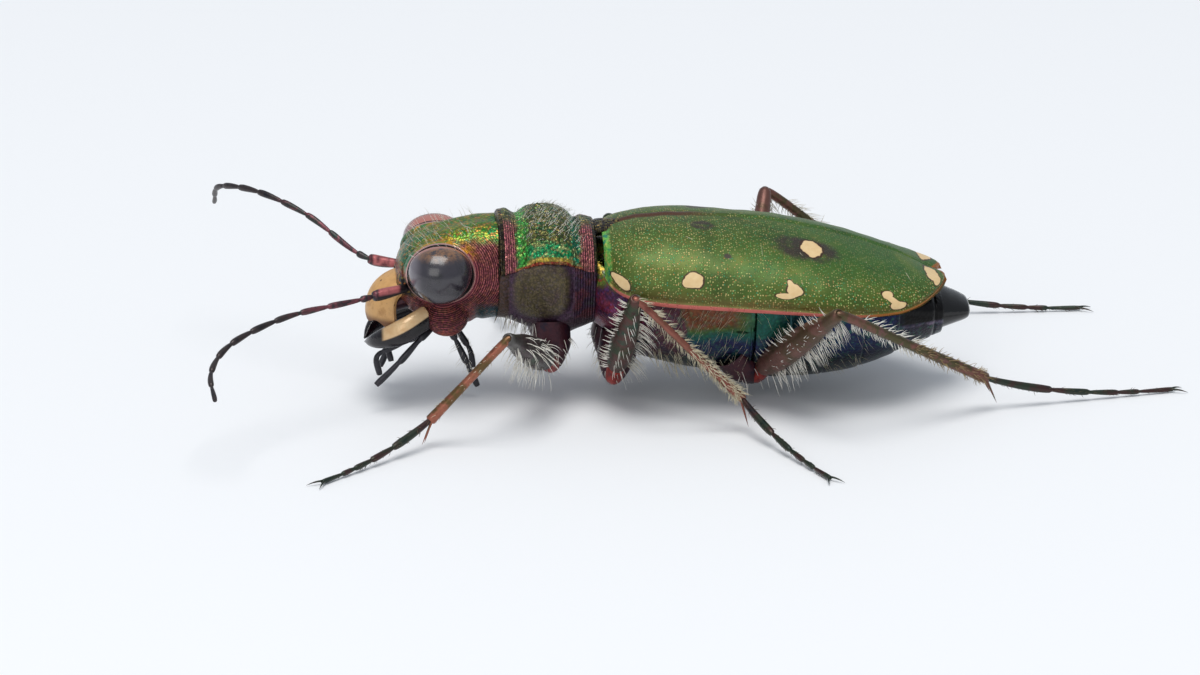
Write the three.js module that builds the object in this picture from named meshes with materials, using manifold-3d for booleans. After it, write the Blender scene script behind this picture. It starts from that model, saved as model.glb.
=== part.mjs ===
// A green tiger beetle, life size, standing on its six feet.
// Millimetres, +Z up. The head looks towards -X and the left side towards -Y.
// All places are worked out in a body frame whose floor is Z = 0 and whose
// middle plane is Y = 0; the group at the end moves the origin under the middle.
import * as THREE from 'three';
import { mergeVertices } from 'three/addons/utils/BufferGeometryUtils.js';
import Module from 'manifold-3d';

const wasm = await Module();
wasm.setup();

// Clearance and thickness
const GAP = 0.12;
const SHELL = 0.5;
const LIMB = 0.25;

// Head: x, top, low, half width, height of the widest line
const HEAD = [
  [-4.95, 3.30, 2.75, 0.60, 3.00],
  [-4.83, 3.66, 2.50, 0.86, 3.05],
  [-4.58, 3.98, 2.25, 1.00, 3.10],
  [-4.15, 4.24, 2.00, 1.12, 3.20],
  [-3.70, 4.38, 1.80, 1.22, 3.25],
  [-3.30, 4.46, 1.80, 1.30, 3.30],
  [-2.95, 4.52, 1.97, 1.28, 3.30],
  [-2.57, 4.54, 2.08, 1.20, 3.30],
];
const HEAD_XS = [-4.95, -4.9, -4.83, -4.7, -4.5, -4.2, -3.9, -3.6, -3.3, -3.05, -2.8, -2.57];
const EYE = { x: -3.93, y: 1.2, z: 3.44, long: 0.77, out: 0.68, tall: 0.72 };
const ORBIT = { y: 0.9, long: 0.88, out: 0.72, tall: 0.76 };
const EYE_TAPER = 0.12;
// The head is held a little tilted, so the right eye stands higher
const EYE_LIFT = { left: 0, right: 0.12 };
// The cheek's lower corner on each side
const CHEEK = { x: -3.72, y: 0.8, z: 2.32, long: 0.62, out: 0.36, tall: 0.5 };

// Front part of the thorax: x, top, height of the side line, half width
const PRONOTUM = [
  [-2.45, 4.58, 3.42, 1.30],
  [-2.30, 4.66, 3.48, 1.38],
  [-2.02, 4.52, 3.56, 1.38],
  [-1.80, 4.64, 3.66, 1.47],
  [-1.44, 4.73, 3.74, 1.52],
  [-1.05, 4.68, 3.72, 1.50],
  [-0.75, 4.50, 3.62, 1.42],
  [-0.60, 4.36, 3.56, 1.36],
  [-0.45, 4.43, 3.50, 1.38],
  [-0.25, 4.38, 3.45, 1.34],
];
// Its sides and breast: x, side line, low, half width
const PROSTERNUM = [
  [-2.45, 3.42, 2.06, 1.26],
  [-1.90, 3.62, 1.86, 1.42],
  [-1.44, 3.74, 1.62, 1.50],
  [-1.00, 3.70, 1.58, 1.48],
  [-0.60, 3.56, 1.72, 1.36],
  [-0.25, 3.45, 1.88, 1.28],
];

// Thorax and belly under the wing covers: x, top, low, half width, widest line
const MESOTHORAX = [
  [-0.13, 3.95, 1.86, 1.26, 2.90],
  [0.15, 3.92, 1.62, 1.58, 2.78],
  [0.50, 3.95, 1.32, 1.82, 2.72],
  [0.90, 4.02, 1.06, 1.98, 2.68],
];
const METATHORAX = [
  [1.02, 4.02, 1.00, 2.02, 2.66],
  [1.60, 4.05, 0.82, 2.12, 2.62],
  [2.40, 4.00, 0.64, 2.20, 2.58],
  [3.45, 3.92, 0.50, 2.22, 2.54],
];
const ABDOMEN = [
  [3.57, 3.90, 0.46, 2.22, 2.52],
  [4.30, 3.80, 0.38, 2.22, 2.48],
  [5.30, 3.60, 0.42, 2.14, 2.42],
  [6.30, 3.32, 0.60, 1.92, 2.36],
  [7.30, 2.98, 0.96, 1.50, 2.28],
  [8.05, 2.66, 1.28, 1.10, 2.12],
];
const SEGMENTS = 5;
const GROOVE = 0.06;
const PYGIDIUM = [
  [8.17, 2.50, 1.32, 1.00, 2.04],
  [8.50, 2.64, 1.50, 0.84, 2.06],
  [8.80, 2.48, 1.70, 0.60, 2.08],
  [8.96, 2.28, 1.88, 0.38, 2.08],
];

// Wing covers: x, height at the seam, height of the side edge, half width of both
const ELYTRA = [
  [0.00, 4.22, 3.30, 1.25],
  [0.12, 4.27, 3.18, 1.62],
  [0.40, 4.36, 3.03, 1.96],
  [0.90, 4.46, 2.91, 2.20],
  [1.60, 4.50, 2.84, 2.35],
  [2.60, 4.47, 2.79, 2.48],
  [3.80, 4.38, 2.71, 2.58],
  [5.00, 4.15, 2.62, 2.62],
  [6.00, 3.88, 2.54, 2.55],
  [6.90, 3.56, 2.52, 2.28],
  [7.50, 3.32, 2.60, 1.92],
  [8.00, 3.10, 2.76, 1.32],
  [8.25, 3.00, 2.86, 0.80],
  [8.33, 2.95, 2.90, 0.46],
];
const ROOF = 0.25;
const ROOF_FROM = 1.8;
const ROOF_FULL = 3.6;
const ELYTRON_SQUARE = 2.3;
const APEX_FROM = 6.6;
const APEX_ROUND = 0.25;
const SCUTELLUM = { front: -0.1, back: 0.6, half: 0.42, low: 3.92, top: 4.3 };

// Upper lip and jaws
const LABRUM = { half: 0.78, back: 0.42, thick: 0.3, tooth: 0.07, teeth: 3 };
const LABRUM_ARC = [[-4.99, 3.1], [-5.62, 2.92], [-5.58, 2.14]];
const JAW = [[-4.2, 0.78, 2.3], [-4.85, 1.0, 1.98], [-5.4, 0.68, 1.7], [-5.7, 0.14, 1.5]];
const JAW_TEETH = [0.5, 0.66, 0.8];
const JAW_TOOTH = 0.46;

// Feelers: path points of each side and the lengths of the eleven joints
const ANTENNA_PATHS = {
  left: [
    [-4.62, -0.86, 3.07], [-5.81, -1.45, 2.97], [-7.76, -2.6, 2.9],
    [-9.1, -3.9, 2.64], [-9.53, -5.05, 2.35], [-9.47, -6.1, 2.05],
  ],
  right: [
    [-4.62, 0.86, 3.1], [-5.62, 1.45, 3.16], [-6.91, 2.4, 3.94],
    [-8.09, 3.4, 4.29], [-9.02, 4.8, 4.05], [-9.12, 6.1, 3.28],
  ],
};
const ANTENNA_JOINTS = [0.98, 0.3, 0.86, 0.72, 0.72, 0.72, 0.68, 0.64, 0.6, 0.58, 0.56];
const ANTENNA_SPLITS = [0, 1, 6, 11];

// Lower jaws with their feelers: path points, left side and right side
const MAXILLA = {
  left: {
    palp: [[-4.05, -0.62, 2.0], [-4.4, -0.86, 1.76], [-4.91, -1.05, 1.25], [-5.5, -1.2, 0.73]],
    galea: [[-4.3, -0.7, 1.85], [-4.9, -0.42, 1.5], [-5.42, -0.26, 1.15], [-5.36, -0.2, 0.68]],
  },
  right: {
    palp: [[-4.05, 0.62, 2.0], [-4.4, 0.86, 1.72], [-5.02, 0.95, 1.06], [-5.28, 1.04, 0.5]],
    galea: [[-4.3, 0.7, 1.85], [-4.85, 0.45, 1.45], [-5.1, 0.34, 1.15], [-5.05, 0.3, 0.85]],
  },
};
const LABIAL_PALP = {
  left: [[-3.75, -0.36, 2.0], [-3.52, -0.4, 1.55], [-3.21, -0.36, 0.85], [-3.0, -0.2, 0.34]],
  right: [[-3.62, 0.36, 2.0], [-3.37, 0.4, 1.48], [-3.12, 0.45, 1.0], [-3.06, 0.42, 0.6]],
};

// Legs: root in the body, hip, knee, ankle and foot, then the half depths of the thigh
const LEGS = {
  front_left: {
    root: [-1.25, -0.7, 2.1], hip: [-1.24, -0.9, 1.1], knee: [-2.5, -3.74, 2.6],
    ankle: [-4.36, -3.8, 0.66], foot: [-7.03, -6.38, 0], thigh: 0.38,
  },
  middle_left: {
    root: [0.42, -0.78, 1.8], hip: [0.24, -1.0, 0.76], knee: [0.58, -3.1, 3.3],
    ankle: [3.13, -3.26, 0.8], foot: [4.75, -7.12, 0], thigh: 0.35,
  },
  hind_left: {
    root: [3.0, -1.3, 1.4], hip: [3.61, -0.9, 0.66], knee: [5.26, -4.38, 3.2],
    ankle: [9.14, -2.18, 0.8], foot: [13.85, -1.2, 0], thigh: 0.36,
  },
  front_right: {
    root: [-1.25, 0.7, 2.1], hip: [-1.24, 0.9, 1.1], knee: [-1.75, 3.6, 3.05],
    ankle: [-1.95, 5.4, 0.64], foot: [-2.75, 8.95, 0], thigh: 0.38,
  },
  middle_right: {
    root: [0.42, 0.78, 1.8], hip: [0.24, 1.0, 0.76], knee: [0.5, 3.2, 3.5],
    ankle: [1.6, 5.2, 0.76], foot: [3.2, 9.0, 0], thigh: 0.35,
  },
  hind_right: {
    root: [3.0, 1.3, 1.4], hip: [3.61, 0.9, 0.66], knee: [4.51, 4.5, 3.7],
    ankle: [8.1, 5.6, 0.72], foot: [12.68, 5.6, 0], thigh: 0.36,
  },
};
const TROCHANTER = 0.15;
const RING_BACK = 0.12;
const FOOT_AXIS = 0.1;
const TARSUS_BEND = 0.42;
const TARSUS_JOINTS = [0.36, 0.2, 0.15, 0.11, 0.18];
const SPUR = 0.55;
const CLAW = 0.42;

// Finishes
const finish = (color, roughness, metalness) => ({ color, roughness, metalness });
const GREEN = finish(0x3f7a33, 0.45, 0.6);
const HEAD_GREEN = finish(0x4b7d35, 0.4, 0.6);
const COPPER = finish(0x8a4a3c, 0.4, 0.6);
const MAROON = finish(0x5a2a35, 0.4, 0.6);
const BELLY_BLUE = finish(0x1f4a5e, 0.35, 0.7);
const GLOSS_BLACK = finish(0x15161a, 0.2, 0.1);
const EYE_GREY = finish(0x3a3a40, 0.15, 0.1);
const LIP_TAN = finish(0xd7af73, 0.5, 0.0);
const FEELER = finish(0x3b3436, 0.4, 0.3);
const RED = finish(0x9a2f2b, 0.4, 0.3);
const THIGH = finish(0x6e5546, 0.4, 0.6);
const TARSUS_GREEN = finish(0x2f4a44, 0.4, 0.6);

const UP = new THREE.Vector3(0, 0, 1);
const AHEAD = new THREE.Vector3(1, 0, 0);
const OUT = new THREE.Vector3(0, 1, 0);
const spot = (place) => new THREE.Vector3(...place);
const unit = (from, to) => new THREE.Vector3().subVectors(to, from).normalize();

// Geometry to solid and back
function solid(geometry) {
  const bare = geometry.clone();
  bare.deleteAttribute('normal');
  bare.deleteAttribute('uv');
  const merged = mergeVertices(bare, 1e-5);
  const mesh = new wasm.Mesh({
    numProp: 3,
    vertProperties: new Float32Array(merged.attributes.position.array),
    triVerts: new Uint32Array(merged.index.array),
  });
  return new wasm.Manifold(mesh);
}

function largest(body) {
  return body.decompose().reduce((a, b) => (a.volume() >= b.volume() ? a : b));
}

function geometryOf(body) {
  const mesh = largest(body).getMesh();
  const geometry = new THREE.BufferGeometry();
  const count = mesh.numProp;
  const places = [];
  for (let i = 0; i < mesh.vertProperties.length; i += count) {
    places.push(mesh.vertProperties[i], mesh.vertProperties[i + 1], mesh.vertProperties[i + 2]);
  }
  geometry.setAttribute('position', new THREE.Float32BufferAttribute(places, 3));
  geometry.setIndex(Array.from(mesh.triVerts));
  geometry.computeVertexNormals();
  return geometry;
}

// Moves every vertex of a geometry
function reshape(geometry, place) {
  const position = geometry.attributes.position;
  const vertex = new THREE.Vector3();
  for (let i = 0; i < position.count; i += 1) {
    vertex.fromBufferAttribute(position, i);
    const moved = place(vertex);
    position.setXYZ(i, moved.x, moved.y, moved.z);
  }
  return geometry;
}

// A smooth curve through rows of [x, value, ...], without overshoot
function through(rows) {
  const slope = (i, k) => {
    if (i === 0 || i === rows.length - 1) {
      const j = i === 0 ? 1 : i;
      return (rows[j][k] - rows[j - 1][k]) / (rows[j][0] - rows[j - 1][0]);
    }
    const before = (rows[i][k] - rows[i - 1][k]) / (rows[i][0] - rows[i - 1][0]);
    const after = (rows[i + 1][k] - rows[i][k]) / (rows[i + 1][0] - rows[i][0]);
    return before * after <= 0 ? 0 : (2 * before * after) / (before + after);
  };
  return (x) => {
    let i = 0;
    while (i < rows.length - 2 && x > rows[i + 1][0]) i += 1;
    const span = rows[i + 1][0] - rows[i][0];
    const t = THREE.MathUtils.clamp((x - rows[i][0]) / span, 0, 1);
    const s = t * t * (3 - 2 * t);
    return rows[i].slice(1).map((value, n) => {
      const k = n + 1;
      const ease = t * (1 - t) * (1 - t) * slope(i, k) - t * t * (1 - t) * slope(i + 1, k);
      return value + (rows[i + 1][k] - value) * s + ease * span;
    });
  };
}

const power = (value, exponent) => Math.sign(value) * Math.abs(value) ** exponent;

// A closed body along X whose cross-sections are rounded and wider than tall
function bodyForm(rows, options) {
  const { sides, xs, upper = 2.2, lower = 2, shrink = () => 0 } = options;
  const row = through(rows);
  const geometry = new THREE.CylinderGeometry(1, 1, 1, sides, xs.length - 1);
  return reshape(geometry, (v) => {
    const x = xs[Math.round((v.y + 0.5) * (xs.length - 1))];
    const [top, low, half, wide] = row(x);
    const square = v.x > 0 ? upper : lower;
    const rise = v.x > 0 ? top - wide : wide - low;
    const inward = 1 - shrink(x) / half;
    const y = half * inward * power(v.z, 2 / square);
    const z = wide + rise * inward * power(v.x, 2 / square);
    return new THREE.Vector3(x, y, z);
  });
}

function evenly(first, last, steps) {
  return Array.from({ length: steps + 1 }, (_, i) => first + ((last - first) * i) / steps);
}

// A closed limb along a curve. A station is [place from 0 to 1, half depth, half width].
// Each end is cut by the plane that its facing gives, half a gap short of the end.
function sweep(curve, stations, options = {}) {
  const { sides = 8, up = UP, start, end, grow = 0, floor = -Infinity, blend = 0.35 } = options;
  const last = stations.length - 1;
  const ring = stations.map(([place, deep, wide]) => {
    const along = curve.getTangentAt(place);
    const across = new THREE.Vector3().crossVectors(up, along).normalize();
    const above = new THREE.Vector3().crossVectors(along, across);
    const at = curve.getPointAt(place);
    return { place, deep: deep + grow, wide: wide + grow, along, across, above, at };
  });
  const rim = (r, v) => r.at.clone()
    .addScaledVector(r.above, v.x * r.deep)
    .addScaledVector(r.across, v.z * r.wide);
  const trim = (r, facing, back, v) => {
    const normal = facing ?? r.along;
    const short = facing ? GAP / 2 - grow : -grow;
    const plane = r.at.clone().addScaledVector(normal, back * short);
    const reach = plane.sub(rim(r, v)).dot(normal) / r.along.dot(normal);
    return back > 0 ? Math.max(reach, -r.deep) : Math.min(reach, r.deep);
  };
  const geometry = new THREE.CylinderGeometry(1, 1, 1, sides, last);
  return reshape(geometry, (v) => {
    const r = ring[Math.round((v.y + 0.5) * last)];
    const fromStart = Math.max(0, 1 - r.place / blend);
    const fromEnd = Math.max(0, 1 - (1 - r.place) / blend);
    const shift = trim(ring[0], start, 1, v) * fromStart + trim(ring[last], end, -1, v) * fromEnd;
    const moved = rim(r, v).addScaledVector(r.along, shift);
    moved.z = Math.max(moved.z, floor);
    return moved;
  });
}

const line = (from, to) => new THREE.LineCurve3(from, to);
const bendThrough = (places) => new THREE.CatmullRomCurve3(places.map(spot), false, 'centripetal');

// A thin spine: a cone from its sunk root to its tip
function spine(root, tip, radius, sides = 5) {
  const curve = line(root, tip);
  const hint = Math.abs(curve.getTangentAt(0).z) > 0.8 ? AHEAD : UP;
  const middle = radius * 0.75;
  return sweep(curve, [[0, radius, radius], [0.5, middle, middle], [1, 0.04, 0.04]], { sides, up: hint });
}

// The model's tree
const beetle = new THREE.Group();
function node(name, shape, material, pivot = new THREE.Vector3(), parent = beetle) {
  const geometry = shape.isBufferGeometry ? shape.clone() : geometryOf(shape);
  geometry.translate(-pivot.x, -pivot.y, -pivot.z);
  const mesh = new THREE.Mesh(geometry, new THREE.MeshStandardMaterial(material));
  mesh.name = name;
  mesh.position.copy(pivot);
  parent.add(mesh);
  return mesh;
}

// Wing cover of one side: sign -1 is left. Grown, it is the room that the cover needs.
function elytron(sign, grow = 0) {
  const lengthSteps = 20;
  const widthSteps = 8;
  const row = through(ELYTRA);
  const first = ELYTRA[0][0];
  const last = ELYTRA[ELYTRA.length - 1][0];
  const box = new THREE.BoxGeometry(1, 1, 1, lengthSteps, widthSteps, 1);
  return reshape(box, (v) => {
    const u = 0.5 - 0.5 * Math.cos((v.x + 0.5) * Math.PI);
    const x = first + (last - first) * u;
    const [top, edge, half] = row(x);
    const a = (sign > 0 ? v.y + 0.5 : 0.5 - v.y) * Math.PI / 2;
    const across = Math.sin(a) ** (2 / ELYTRON_SQUARE);
    const over = Math.max(0, Math.cos(a)) ** (2 / ELYTRON_SQUARE);
    const apex = THREE.MathUtils.smoothstep(x, APEX_FROM, last);
    const outward = Math.sin(a) * (1 - apex);
    const upward = THREE.MathUtils.lerp(Math.cos(a), 1, apex);
    const thick = Math.min(SHELL, half * 0.4);
    const depth = v.z > 0 ? -grow : thick + grow;
    const seam = sign > 0 ? GAP / 2 : -GAP / 2;
    const ridge = ROOF * THREE.MathUtils.smoothstep(x, ROOF_FROM, ROOF_FULL) * (1 - apex);
    const round = APEX_ROUND * apex * apex * (1 - across) ** 2;
    const y = half * across - depth * outward;
    const z = edge + (top - edge - ridge) * over + ridge * (1 - across) - depth * upward;
    const atSeam = across < 1e-6;
    const atEdge = over < 1e-6;
    const stretch = u === 0 ? -grow : u === 1 ? grow : 0;
    return new THREE.Vector3(
      x + stretch - round,
      sign * (atSeam ? -grow : Math.max(y, 0.02)) + seam,
      z - (atEdge && depth > 0 ? grow : 0),
    );
  });
}

// Head capsule, eyes and their sockets
const eyes = {};
const swellings = {};
function ovalOf(middle, { long, out, tall }, taper = 0) {
  return reshape(new THREE.SphereGeometry(1, 16, 10), (v) => new THREE.Vector3(
    middle.x + v.x * long * (1 + taper * v.z),
    middle.y + v.y * out,
    middle.z + v.z * tall,
  ));
}
for (const [side, sign] of [['left', -1], ['right', 1]]) {
  const lift = EYE_LIFT[side];
  const middle = new THREE.Vector3(EYE.x, sign * EYE.y, EYE.z + lift);
  const grown = { long: EYE.long + GAP / 2, out: EYE.out + GAP / 2, tall: EYE.tall + GAP / 2 };
  eyes[side] = { middle, ball: ovalOf(middle, EYE, EYE_TAPER), room: ovalOf(middle, grown, EYE_TAPER) };
  const orbit = ovalOf(new THREE.Vector3(EYE.x, sign * ORBIT.y, EYE.z + lift), ORBIT);
  const cheek = ovalOf(new THREE.Vector3(CHEEK.x, sign * CHEEK.y, CHEEK.z), CHEEK);
  swellings[side] = [orbit, cheek];
}

// Feelers, each in three lengths
const antennae = {};
for (const [side, places] of Object.entries(ANTENNA_PATHS)) {
  const curve = bendThrough(places);
  const total = ANTENNA_JOINTS.reduce((sum, length) => sum + length, 0);
  const ends = [0];
  for (const length of ANTENNA_JOINTS) ends.push(Math.min(1, ends[ends.length - 1] + length / total));
  ends[ANTENNA_JOINTS.length] = 1;
  const lengths = [];
  for (let s = 0; s < ANTENNA_SPLITS.length - 1; s += 1) {
    const [from, to] = [ends[ANTENNA_SPLITS[s]], ends[ANTENNA_SPLITS[s + 1]]];
    const part = new THREE.Curve();
    const margin = GAP / 2 / curve.getLength();
    const begin = s === 0 ? 0 : from + margin;
    const finishAt = to === 1 ? 1 : to - margin;
    part.getPoint = (t, target = new THREE.Vector3()) => {
      const place = THREE.MathUtils.clamp(THREE.MathUtils.lerp(begin, finishAt, t), 0, 1);
      return target.copy(curve.getPointAt(place));
    };
    const stations = [];
    for (let j = ANTENNA_SPLITS[s]; j < ANTENNA_SPLITS[s + 1]; j += 1) {
      const place = (t) => (THREE.MathUtils.lerp(ends[j], ends[j + 1], t) - begin) / (finishAt - begin);
      const thick = j < 6 ? LIMB : THREE.MathUtils.lerp(LIMB, 0.16, (j - 5) / 5);
      if (j === ANTENNA_SPLITS[s]) stations.push([0, thick * 0.85, thick * 0.85]);
      stations.push([Math.max(0.01, place(0.12)), thick * 0.88, thick * 0.88]);
      stations.push([place(0.72), thick * 1.06, thick * 1.06]);
      stations.push([Math.min(1, place(0.98)), thick * 0.92, thick * 0.92]);
    }
    stations[stations.length - 1][0] = 1;
    if (to === 1) stations[stations.length - 1][1] = stations[stations.length - 1][2] = 0.08;
    lengths.push({ part, stations });
  }
  antennae[side] = lengths;
}
const feeler = ({ part, stations }, grow = 0) => sweep(part, stations, { sides: 6, grow });

// Upper lip: a curved plate with a toothed front edge
function labrum(grow = 0) {
  const [a, b, c] = LABRUM_ARC.map(([x, z]) => new THREE.Vector3(x, 0, z));
  const arc = new THREE.QuadraticBezierCurve3(a, b, c);
  const box = new THREE.BoxGeometry(1, 1, 1, 5, 12, 1);
  return reshape(box, (v) => {
    const u = v.x + 0.5;
    const side = v.y * 2;
    const point = arc.getPoint(u);
    const teeth = u === 1 ? LABRUM.tooth * Math.cos(LABRUM.teeth * Math.PI * side) : 0;
    const inner = v.z < 0 ? LABRUM.thick + grow : -grow;
    const ends = u === 0 ? grow : u === 1 ? -grow : 0;
    const curl = LABRUM.back * side * side;
    return new THREE.Vector3(
      point.x + curl + inner,
      -side * (LABRUM.half + grow),
      point.z - inner + teeth + ends - 0.12 * side * side,
    );
  });
}

// Jaws: a sickle with teeth on its inner side
const JAW_STATIONS = [
  [0, 0.28, 0.24], [0.3, 0.28, 0.26], [0.6, 0.23, 0.22], [0.85, 0.16, 0.15], [1, 0.06, 0.06],
];
const jaws = {};
for (const [side, sign] of [['left', -1], ['right', 1]]) {
  const curve = bendThrough(JAW.map(([x, y, z]) => [x, y * sign, z]));
  let body = solid(sweep(curve, JAW_STATIONS, { sides: 8 }));
  for (const place of JAW_TEETH) {
    const root = curve.getPointAt(place);
    const tip = root.clone().add(new THREE.Vector3(-0.16, -sign * JAW_TOOTH, -0.12));
    body = body.add(solid(spine(root, tip, 0.12)));
  }
  jaws[side] = { body, room: solid(sweep(curve, JAW_STATIONS, { sides: 8, grow: GAP })) };
}

// Lower jaws: the jointed palp and the slim inner lobe grow from one root
const PALP_STATIONS = [
  [0, 0.25, 0.25], [0.3, 0.22, 0.22], [0.62, 0.25, 0.25],
  [0.68, 0.2, 0.2], [0.95, 0.22, 0.22], [1, 0.12, 0.12],
];
const GALEA_STATIONS = [[0, 0.22, 0.22], [0.5, 0.2, 0.2], [1, 0.1, 0.1]];
function palpBody(places, stations, grow = 0) {
  return solid(sweep(bendThrough(places), stations, { sides: 6, up: OUT, grow }));
}
const maxillae = {};
for (const [side, { palp, galea }] of Object.entries(MAXILLA)) {
  const whole = (grow) => palpBody(palp, PALP_STATIONS, grow).add(palpBody(galea, GALEA_STATIONS, grow));
  maxillae[side] = { body: whole(0), room: whole(GAP) };
}
const labials = {};
for (const [side, places] of Object.entries(LABIAL_PALP)) {
  labials[side] = { body: palpBody(places, PALP_STATIONS), room: palpBody(places, PALP_STATIONS, GAP) };
}

let head = solid(bodyForm(HEAD, { sides: 24, xs: HEAD_XS, upper: 2.4, lower: 1.9 }));
for (const side of ['left', 'right']) {
  for (const swelling of swellings[side]) head = head.add(solid(swelling));
}
for (const side of ['left', 'right']) {
  head = head.subtract(solid(eyes[side].room));
  head = head.subtract(solid(feeler(antennae[side][0], GAP / 2)));
  head = head.subtract(jaws[side].room);
  head = head.subtract(maxillae[side].room);
  head = head.subtract(labials[side].room);
}
const lipRoom = solid(labrum(GAP));
head = head.subtract(lipRoom);
node('head', head, HEAD_GREEN);
let lip = solid(labrum());
for (const side of ['left', 'right']) {
  lip = lip.subtract(jaws[side].room).subtract(solid(feeler(antennae[side][0], GAP)));
  node(`eye_${side}`, eyes[side].ball, EYE_GREY, eyes[side].middle);
  ['scape', 'base', 'tip'].forEach((name, i) => {
    node(`antenna_${side}_${name}`, feeler(antennae[side][i]), i === 0 ? COPPER : FEELER);
  });
  node(`maxilla_${side}`, maxillae[side].body.subtract(jaws[side].room), FEELER);
  node(`labial_palp_${side}`, labials[side].body.subtract(maxillae[side].room), FEELER);
}
node('labrum', lip, LIP_TAN);
node('mandible_left', jaws.left.body, GLOSS_BLACK);
node('mandible_right', jaws.right.body.subtract(jaws.left.room), GLOSS_BLACK);

// Legs: coxa, trochanter, femur, tibia with its spurs, tarsus with its claws
const COXA_STATIONS = [[0, 0.5, 0.46], [0.5, 0.52, 0.48], [1, 0.36, 0.34]];
function femurStations(thigh) {
  return [
    [0, thigh * 0.8, 0.28], [0.18, thigh, 0.31], [0.4, thigh, 0.31],
    [0.68, thigh * 0.85, 0.28], [0.88, LIMB, LIMB], [1, LIMB, LIMB],
  ];
}
const TIBIA_STATIONS = [
  [0, LIMB, LIMB], [0.2, LIMB, LIMB], [0.6, LIMB, LIMB], [0.88, LIMB * 1.05, LIMB * 1.05], [1, LIMB, LIMB],
];
const TIBIA_SPURS = [-0.5, 0.5];
const CLAW_SPREAD = [-0.45, 0.45];
const rooms = [];
for (const [name, at] of Object.entries(LEGS)) {
  const [root, hip, knee, ankle, foot] = [at.root, at.hip, at.knee, at.ankle, at.foot].map(spot);
  foot.z = FOOT_AXIS;
  const bend = ankle.clone().lerp(foot, TARSUS_BEND);
  bend.z = FOOT_AXIS;
  const thighStart = hip.clone().lerp(knee, TROCHANTER);
  const sole = new THREE.QuadraticBezierCurve3(ankle, bend, foot);
  const [thighWay, shinWay] = [unit(hip, knee), unit(knee, ankle)];
  const soleWay = sole.getTangentAt(0);
  const turn = (a, b) => a.clone().add(b).normalize();
  const kneeFace = turn(thighWay, shinWay);
  const ankleFace = turn(shinWay, soleWay);
  const socket = at.thigh * 0.8;
  const ringStart = hip.clone().addScaledVector(thighWay, -RING_BACK);
  const ringStations = [[0, 0.2, 0.2], [0.4, 0.32, 0.3], [1, socket, 0.28]];
  const coxaBody = (grow) => solid(sweep(line(root, hip), COXA_STATIONS, { up: AHEAD, grow }));
  const trochanter = (grow) => sweep(line(ringStart, thighStart), ringStations, { end: thighWay, grow });
  const femur = (grow) => sweep(line(thighStart, knee), femurStations(at.thigh), {
    start: thighWay, end: kneeFace, grow,
  });
  const coxa = coxaBody(0).subtract(solid(trochanter(GAP))).subtract(solid(femur(GAP)));

  // The tarsus rests on the floor from its bend on and ends in two claws
  const stations = [];
  let reached = 0;
  TARSUS_JOINTS.forEach((share, j) => {
    const thick = THREE.MathUtils.lerp(LIMB * 0.92, 0.17, reached);
    stations.push([reached, thick * 0.85, thick * 0.85], [reached + share * 0.85, thick, thick]);
    reached = j === TARSUS_JOINTS.length - 1 ? 1 : reached + share;
  });
  stations.push([1, 0.12, 0.12]);
  let tarsus = solid(sweep(sole, stations, { sides: 6, start: ankleFace, floor: 0 }));
  const tarsusRoom = solid(sweep(sole, stations, { sides: 6, start: ankleFace, grow: GAP }));
  const ahead = sole.getTangentAt(1);
  const beside = new THREE.Vector3().crossVectors(UP, ahead);
  for (const spread of CLAW_SPREAD) {
    const from = foot.clone().addScaledVector(ahead, -0.14).setZ(0.12);
    const tip = from.clone().addScaledVector(ahead, CLAW).addScaledVector(beside, spread * CLAW).setZ(0.07);
    tarsus = tarsus.add(solid(spine(from, tip, 0.08)));
  }

  // The tibia's two spurs go on past its end
  let tibia = solid(sweep(line(knee, ankle), TIBIA_STATIONS, { start: kneeFace, end: ankleFace }));
  const shinSide = new THREE.Vector3().crossVectors(UP, shinWay).normalize();
  const shinUnder = new THREE.Vector3().crossVectors(shinSide, shinWay);
  for (const spread of TIBIA_SPURS) {
    const from = ankle.clone().addScaledVector(shinWay, -0.3);
    from.addScaledVector(shinUnder, -0.1).addScaledVector(shinSide, spread * 0.2);
    const tip = from.clone().addScaledVector(shinWay, SPUR);
    tip.addScaledVector(shinUnder, -0.12).addScaledVector(shinSide, spread * 0.5);
    tibia = tibia.add(solid(spine(from, tip, 0.1)));
  }
  tibia = tibia.subtract(tarsusRoom);

  const leg = new THREE.Group();
  beetle.add(leg);
  node(`coxa_${name}`, coxa, MAROON, root, leg);
  node(`trochanter_${name}`, trochanter(0), RED, hip, leg);
  node(`femur_${name}`, femur(0), THIGH, hip, leg);
  node(`tibia_${name}`, tibia, COPPER, knee, leg);
  node(`tarsus_${name}`, tarsus, TARSUS_GREEN, ankle, leg);
  rooms.push(coxaBody(GAP), solid(trochanter(GAP)), solid(femur(GAP)));
}

// Clears a body solid of the legs that stand in it
function clearOfLegs(body) {
  return rooms.reduce((rest, room) => rest.subtract(room), body);
}

// Thorax and abdomen
const PRONOTUM_XS = [
  -2.45, -2.3, -2.16, -2.02, -1.92, -1.7, -1.44, -1.1, -0.85, -0.7, -0.6, -0.52, -0.4, -0.25,
];
const shield = PRONOTUM.map(([x, top, side, half]) => [x, top, side + GAP / 2, half, side + GAP / 2]);
node('pronotum', bodyForm(shield, { sides: 20, xs: PRONOTUM_XS, upper: 2.1 }), GREEN);
const breastRows = PROSTERNUM.map(([x, side, low, half]) => [x, side - GAP / 2, low, half, side - GAP / 2]);
const breast = solid(bodyForm(breastRows, { sides: 20, xs: evenly(-2.45, -0.25, 7), lower: 2.2 }));
node('prosternum', clearOfLegs(breast), MAROON);

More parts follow.
